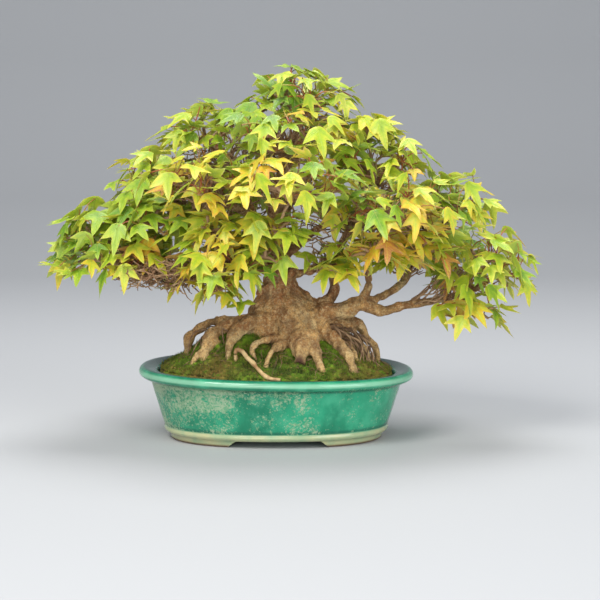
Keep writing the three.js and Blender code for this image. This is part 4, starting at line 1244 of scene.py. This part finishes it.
# The leaf's outline as its reach from the base at each angle, in leaf lengths: the tip
# ahead, a notch at 27 degrees, a pointed side lobe at 49, and the rounded base.
OUTLINE = [
    (0, 1.0), (6, 0.80), (13, 0.60), (20, 0.46), (27, 0.41), (38, 0.51), (49, 0.73),
    (56, 0.55), (68, 0.38), (96, 0.24), (138, 0.13),
]
LEAF_RINGS = (0.55, 1.0)
LEAF_THICKNESS = 0.011


def leaf_template():
    """One leaf of unit length: its points ahead of and beside its base, the share of the
    reach at which each lies, whether it is on the underside, and the faces. Rings about
    the base make an upper and a lower side that share their rim."""
    half = np.array(OUTLINE, float)
    angle = np.radians(np.concatenate([-half[:0:-1, 0], half[:, 0]]))
    reach = np.concatenate([half[:0:-1, 1], half[:, 1]])
    count, rings = len(angle), len(LEAF_RINGS)
    share = np.array(LEAF_RINGS)[:, None]
    flat = np.stack([share * reach * np.cos(angle), share * reach * np.sin(angle)], axis=-1)
    upper = np.concatenate([[[0, 0]], flat.reshape(-1, 2)])
    lower = np.concatenate([[[0, 0]], flat[:-1].reshape(-1, 2)])
    edge = np.concatenate([[0], np.repeat(LEAF_RINGS, count)])
    inner = np.concatenate([[0], np.repeat(LEAF_RINGS[:-1], count)])
    k = np.arange(count)
    fan = np.stack([0 * k, 1 + k, 1 + (k + 1) % count], axis=1)
    ring = 1 + grid_faces(rings, count, True)[:, [0, 3, 2, 1]]
    top = np.concatenate([fan, ring[:, [0, 1, 2]], ring[:, [0, 2, 3]]])
    start = len(upper)
    last = 1 + (rings - 1) * count
    under = np.where(top >= last, top, top + start)[:, ::-1]
    flat_all = np.concatenate([upper, lower])
    below = np.concatenate([np.zeros(len(upper)), np.ones(len(lower))])
    return flat_all, np.concatenate([edge, inner]), below, np.concatenate([top, under])


LEAF_FLAT, LEAF_EDGE, LEAF_BELOW, LEAF_FACES = leaf_template()


def leaf_shapes(plans, random):
    """All the leaves of a spray at once. Each bends down at its tip and lobes, folds a
    little along its midrib, twists, and waves at its edge by its own amounts."""
    base, along, up, size = (np.array([plan[k] for plan in plans]) for k in range(4))
    count = len(plans)
    u, v = LEAF_FLAT[:, 0][None], LEAF_FLAT[:, 1][None]

    def draw(low, high):
        return random.uniform(low, high, (count, 1))

    v_wide = v * draw(0.84, 1.08) * (1 + 0.14 * draw(-1, 1) * np.sign(v))
    bend = -draw(0.0, 0.3) * u**2 - draw(-0.1, 0.3) * np.abs(v) ** 1.5
    crease = draw(0.0, 0.22) * np.abs(v) * (1.1 - u)
    wave = 0.03 * LEAF_EDGE**2 * np.sin(8 * u + 10 * v + draw(0, 6.3)) * draw(0.3, 1.4)
    twist = draw(-0.4, 0.4) * u * v
    w = bend + crease + wave + twist - LEAF_THICKNESS * LEAF_BELOW * (1 - LEAF_EDGE**4)
    u_bent = u - 0.5 * (w**2) * np.sign(u)
    left = np.cross(up, along)
    shape = (
        u_bent[..., None] * along[:, None]
        + v_wide[..., None] * left[:, None]
        + w[..., None] * up[:, None]
    )
    points = base[:, None] + size[:, None, None] * shape
    first = (np.arange(count) * len(LEAF_FLAT))[:, None, None]
    return points.reshape(-1, 3), (LEAF_FACES[None] + first).reshape(-1, 3)


def stalk(root, base, along, random):
    """A petiole: a thin bar from the twig that swings round into the leaf's midrib."""
    span = np.linalg.norm(base - root)
    middle = (root + base) / 2 + [0, 0, 0.1 * span] - 0.12 * span * along
    path = smooth_path([root, middle, base], 3)
    swell = np.linspace(0.5, 0.36, len(path))[:, None]
    return tube(np.concatenate([path, swell], axis=1), 4)


def axis_root(low, tip, base, along):
    """The spot on a twig from which the stalk to a base is shortest, if it can be one
    that lies behind the leaf."""
    spots = low + (tip - low) * np.linspace(0.2, 0.98, 7)[:, None]
    gap = np.linalg.norm(spots - base, axis=1)
    ahead = ((base - spots) @ along) / gap
    return spots[np.argmin(gap + 30 * (ahead < 0.1))]


RIPE_SPOTS = [
    ((-117, -40, 139), 20, 0.35), ((-44, -70, 150), 20, 0.3), ((40, -60, 190), 22, 0.32),
    ((100, -75, 165), 24, 0.4), ((143, -30, 96), 22, 0.35), ((-72, -60, 213), 26, 0.22),
    ((70, -90, 150), 20, 0.35), ((-60, -50, 130), 22, 0.2),
]


def ripeness(places, random):
    """How far each leaf has turned from green to orange: a slow drift over the crown,
    more at a few spots, and a draw of its own."""
    ripe = 0.34 + 0.16 * lumps(places, 48, 81) + 0.10 * lumps(places, 21, 82)
    for centre, reach, amount in RIPE_SPOTS:
        gap = np.linalg.norm(places - np.array(centre), axis=1)
        ripe += amount * np.exp(-((gap / reach) ** 2))
    ripe += random.normal(0, 0.085, len(places))
    ripe += 0.3 * (random.random(len(places)) < 0.06)
    return np.clip(ripe, 0.04, 0.97)


node_points = {
    name: point_places(thing.data) for name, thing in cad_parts.items() if "_spray_" in name
}


def sprays_of(bough_name):
    """The names of a bough's sprays."""
    return [name for name in node_points if name.rsplit("_spray_", 1)[0] == bough_name]


def solid_leaf(bough, index, i, tips, own_points):
    """Leaf i of a pad as the solid model has it: the first turn of the first near twig
    whose leaf tip is a corner of one of the bough's solids."""
    point, outward = pad_point(bough, i, bough["leaves"], index)
    order = np.argsort([np.linalg.norm(tip - point) for tip in tips])
    for nearest in order[:5]:
        plan = leaf_plan(point, outward, tips[nearest], seeded(1000 * (index + 1) + i))
        for turn in TURNS:
            base, along, up, size = turned(plan, turn)
            end = base + along * size - up * TIP_DROP * size
            for name, points in own_points.items():
                if np.min(np.sum((points - end) ** 2, axis=1)) < TIP_MATCH:
                    return name, nearest, (base, along, up, size)
    return None


# Smaller clumps that close the crown between the pads: each grows from the nearest wood
# of a bough, and has a middle, radii and a number of leaves.
CLUMPS = [
    ("left_low", (-140, -26, 160), (33, 24, 23), 30),
    ("left_middle", (-94, -36, 168), (38, 24, 22), 44),
    ("left_front_upper", (-50, -62, 164), (26, 16, 16), 22),
    ("left_front_low", (-42, -62, 120), (21, 14, 18), 15),
    ("left_low", (-82, -46, 121), (4, 4, 3), 2),
    ("left_front_low", (-8, -68, 146), (17, 10, 15), 9),
    ("front", (2, -74, 166), (27, 13, 14), 18),
    ("low_front_right", (50, -58, 133), (16, 9, 12), 8),
    ("right_front", (72, -66, 148), (28, 16, 17), 22),
    ("right_middle", (108, -40, 147), (34, 22, 20), 42),
    ("right_low", (153, -28, 99), (26, 16, 15), 16),
    ("right_upper", (70, -8, 236), (29, 28, 15), 24),
    ("left_back", (-75, 52, 195), (36, 26, 20), 24),
    ("right_back", (80, 46, 175), (38, 28, 24), 26),
    ("back", (-20, 62, 140), (34, 22, 18), 20),
]


def clump_plans(bough, clump, holder, seed, made, lines, middles):
    """Adds a clump's twigs and leaves to the spray that holds it."""
    centre = np.array(clump["centre"], float)
    wood = smooth_path(bough["wood"], 8)[:, :3]
    start = wood[np.argmin(np.linalg.norm(wood - centre, axis=1))]
    lines[holder].append(np.array([start, (start + centre) / 2 + [0, 0, 3], centre]))
    tip_count = 3 + clump["leaves"] // 8
    tips = [pad_point(clump, k, tip_count, seed, 0.62)[0] for k in range(tip_count)]
    for tip in tips:
        lines[holder].append(np.array([centre, (centre + tip) / 2 + [0, 0, 1.5], tip]))
    for i in range(clump["leaves"]):
        random = seeded(90000 + 1000 * seed + i)
        share = 0.7 + 0.34 * next(random)
        point, outward = pad_point(clump, i, clump["leaves"], seed + 0.7, share)
        tip = tips[nearest_of(tips, point)]
        plan = leaf_plan(point, outward, tip, random, 1.5)
        middle = leaf_middle(plan)
        if not crowded(middles, middle, CLUMP_SPACING):
            middles.append(middle)
            made[holder].append((plan, (centre, tip)))


def pad_axes(bough_name, bough, index, own, lines):
    """The twigs of a bough's sprays, as (spray, start, tip). From each fork one twig runs
    to its farthest tip and the others leave it. A spray with no solid of its own goes
    with the bough's first, and the twigs' lines are added to the spray's."""
    forks = {
        f"{bough_name}_spray_{k + 1}": spray_fork(bough, index, k) for k in range(bough["sprays"])
    }
    tips = twig_tips(bough, index)
    owner = [min(forks, key=lambda n: np.linalg.norm(forks[n][1] - tip)) for tip in tips]
    axes = []
    for name, (hub, fork) in forks.items():
        ahead = unit(fork - hub)
        knee = fork + 3 * ahead
        ends = [tip for tip, who in zip(tips, owner) if who == name] or [fork + 16 * ahead]
        ends.sort(key=lambda tip: -np.linalg.norm(tip - fork))
        holder = name if name in own else sorted(own)[0]
        lines[holder].append(np.array([fork + 0.4 * ahead, knee, ends[0]]))
        axes.append((holder, knee, ends[0]))
        for j, tip in enumerate(ends[1:]):
            low = knee + (ends[0] - knee) * (0.12 + 0.22 * j)
            lines[holder].append(np.array([low, (low + tip) / 2, tip]))
            axes.append((holder, low, tip))
    return axes


def fill_pad(bough, index, axes, made, middles):
    """Adds leaves at and under the skin of a pad, wherever no leaf is yet too near and no
    other bough's pad is in the way."""
    tips = [axis[2] for axis in axes]
    extra = int(FILL_SHARE * bough["leaves"])
    for i in range(extra):
        random = seeded(50000 + 1000 * (index + 1) + i)
        share = 0.7 + 0.34 * next(random)
        point, outward = pad_point(bough, i, extra, index + 2.2, share)
        others = (other for other in BOUGHS.values() if other is not bough)
        if any(depth_in(other, point) < PAD_CORE for other in others):
            continue
        holder, *axis = axes[nearest_of(tips, point)]
        base, along, up, size = leaf_plan(point, outward, axis[1], random, 1.7)
        plan = (base, along, up, size * (0.68 + 0.32 * next(random)))
        middle = leaf_middle(plan)
        if not crowded(middles, middle, PAD_SPACING):
            middles.append(middle)
            made[holder].append((plan, axis))


def spray_plans():
    """Every leaf by spray, as (plan, twig axis), and every spray's twigs as lines: first
    the solid model's leaves, then more of them in the pads, and last the clumps."""
    made = {name: [] for name in node_points}
    lines = {name: [] for name in node_points}
    middles = []
    for index, (bough_name, bough) in enumerate(BOUGHS.items()):
        own = {name: node_points[name] for name in sprays_of(bough_name)}
        if not own:
            continue
        axes = pad_axes(bough_name, bough, index, own, lines)
        tips = [axis[2] for axis in axes]
        for i in range(bough["leaves"]):
            found = solid_leaf(bough, index, i, tips, own)
            if found is not None:
                name, nearest, plan = found
                made[name].append((plan, axes[nearest][1:]))
                middles.append(leaf_middle(plan))
        fill_pad(bough, index, axes, made, middles)
    for seed, (bough_name, centre, radii, leaves) in enumerate(CLUMPS):
        holders = sorted(sprays_of(bough_name))
        clump = {"centre": centre, "radii": radii, "leaves": leaves, "lowest": -0.6}
        holder = holders[seed % len(holders)]
        clump_plans(BOUGHS[bough_name], clump, holder, seed, made, lines, middles)
    return made, lines


leaf_skin, tree, shader = new_material("leaf_skin", 0.42)
ripe_mask, edge_mask, _, under_mask = painted(tree, "leaf_look")
layout = node(tree, "ShaderNodeUVMap", uv_map="leaf_plan").outputs[0]
plan_uv = node(tree, "ShaderNodeSeparateXYZ", {"Vector": layout}).outputs
side = maths(tree, "ABSOLUTE", maths(tree, "SUBTRACT", plan_uv["X"], 0.5))
ahead = plan_uv["Y"]


def line_mask(tree, distance, width):
    """1 on a line, falling to 0 at that distance from it."""
    return ranged(tree, distance, width, width * 0.25, shape="SMOOTHSTEP")


# The midrib, a vein that runs at 54 degrees into each side lobe, and a comb of finer veins.
VEIN_COSINE, VEIN_SINE = 0.588, 0.809
COMB_SLANT, COMB_COUNT = 0.75, 8.5
off_lobe = maths(
    tree, "SUBTRACT", times(tree, side, VEIN_COSINE), times(tree, ahead, VEIN_SINE)
)
along_comb = maths(tree, "SUBTRACT", ahead, times(tree, side, COMB_SLANT))
comb = maths(tree, "FRACT", times(tree, along_comb, COMB_COUNT))
off_comb = maths(tree, "ABSOLUTE", maths(tree, "SUBTRACT", comb, 0.5))
main_veins = maths(
    tree, "MAXIMUM",
    line_mask(tree, side, 0.018), line_mask(tree, maths(tree, "ABSOLUTE", off_lobe), 0.016),
)
veins = maths(tree, "MAXIMUM", main_veins, times(tree, line_mask(tree, off_comb, 0.14), 0.4))

blotch = times(tree, maths(tree, "SUBTRACT", cloud(tree, 150), 0.5), 0.5)
fringe = times(tree, maths(tree, "POWER", edge_mask, 2.0), 0.2)
turned_far = maths(tree, "ADD", maths(tree, "ADD", ripe_mask, blotch), fringe, clamp=True)
turned_far = maths(tree, "SUBTRACT", turned_far, times(tree, veins, 0.1), clamp=True)
ramp = node(tree, "ShaderNodeValToRGB", {"Fac": turned_far})
RIPENING = [
    (0.0, (0.025, 0.10, 0.007)), (0.22, (0.115, 0.27, 0.012)), (0.42, (0.31, 0.45, 0.02)),
    (0.58, (0.56, 0.56, 0.035)), (0.72, (0.74, 0.52, 0.035)), (0.86, (0.72, 0.36, 0.03)),
    (1.0, (0.5, 0.2, 0.06)),
]
while len(ramp.color_ramp.elements) < len(RIPENING):
    ramp.color_ramp.elements.new(0.5)
for element, (at, colour) in zip(ramp.color_ramp.elements, RIPENING):
    element.position = at
    element.color = (*colour, 1)
VEIN_COLOUR, UNDER_COLOUR = (0.58, 0.64, 0.10), (0.44, 0.50, 0.16)
colour = blend(tree, times(tree, veins, 0.35), ramp.outputs[0], VEIN_COLOUR)
colour = blend(tree, times(tree, under_mask, 0.3), colour, UNDER_COLOUR)
feed(tree, shader.inputs["Base Color"], colour)
shader.inputs["Subsurface Weight"].default_value = 0.25
shader.inputs["Subsurface Radius"].default_value = (0.004, 0.004, 0.001)
shader.inputs["Subsurface Scale"].default_value = 0.6
relief(tree, shader, veins, 0.0003, 0.6)

stalk_skin = mottled(
    "stalk_skin", 0.5, (70, 0.52, 0.12), (0.36, 0.085, 0.035), (0.36, 0.33, 0.06)
)

TWIG_THICK, TWIG_THIN = 1.7, 0.9
twig_swell = np.linspace(TWIG_THICK, TWIG_THIN, 9)[:, None]
spray_leaves, spray_lines = spray_plans()
for number, (name, leaves) in enumerate(spray_leaves.items()):
    random = np.random.default_rng(900 + number)
    twig_parts = [
        tube(np.concatenate([smooth_path(line, 4), twig_swell], axis=1), 6)
        for line in spray_lines[name]
    ]
    stalk_parts = [
        stalk(axis_root(low, tip, plan[0], plan[1]), plan[0], plan[1], random)
        for plan, (low, tip) in leaves
    ]
    plans = [plan for plan, _ in leaves]
    blade = leaf_shapes(plans, random)
    twig, stalks = joined(twig_parts), joined(stalk_parts)
    points, faces = joined([blade, stalks, twig])
    spray = add_mesh(name.replace("_spray_", "_leaves_"), metres(points), faces)
    kinds = np.repeat([0, 1, 2], [len(blade[1]), len(stalks[1]), len(twig[1])])
    spray.data.polygons.foreach_set("material_index", kinds)
    rest = len(points) - len(blade[0])
    middle = np.array([leaf_middle(plan, 0.5) for plan in plans])
    ripe_each = np.repeat(ripeness(middle, random), len(LEAF_FLAT))
    edge_each, under_each = np.tile(LEAF_EDGE, len(plans)), np.tile(LEAF_BELOW, len(plans))
    ripe_all, edge_all, under_all = (
        np.concatenate([each, np.zeros(rest)]) for each in (ripe_each, edge_each, under_each)
    )
    paint(spray.data, "leaf_look", [ripe_all, edge_all, 0, under_all])
    flat = np.concatenate([np.tile(LEAF_FLAT, (len(plans), 1)), np.zeros((rest, 2))])
    corner = np.empty(len(spray.data.loops), int)
    spray.data.loops.foreach_get("vertex_index", corner)
    spread = np.stack([flat[corner, 1] + 0.5, flat[corner, 0]], axis=1)
    spray.data.uv_layers.new(name="leaf_plan").data.foreach_set("uv", spread.ravel())
    spray.data.set_sharp_from_angle(angle=math.radians(75))
    for material in (leaf_skin, stalk_skin, twig_bark):
        spray.data.materials.append(material)
    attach(spray, "root")
    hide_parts(name)

new_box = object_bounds()
[[list(corner) for corner in box] for box in (cad_box, new_box)]
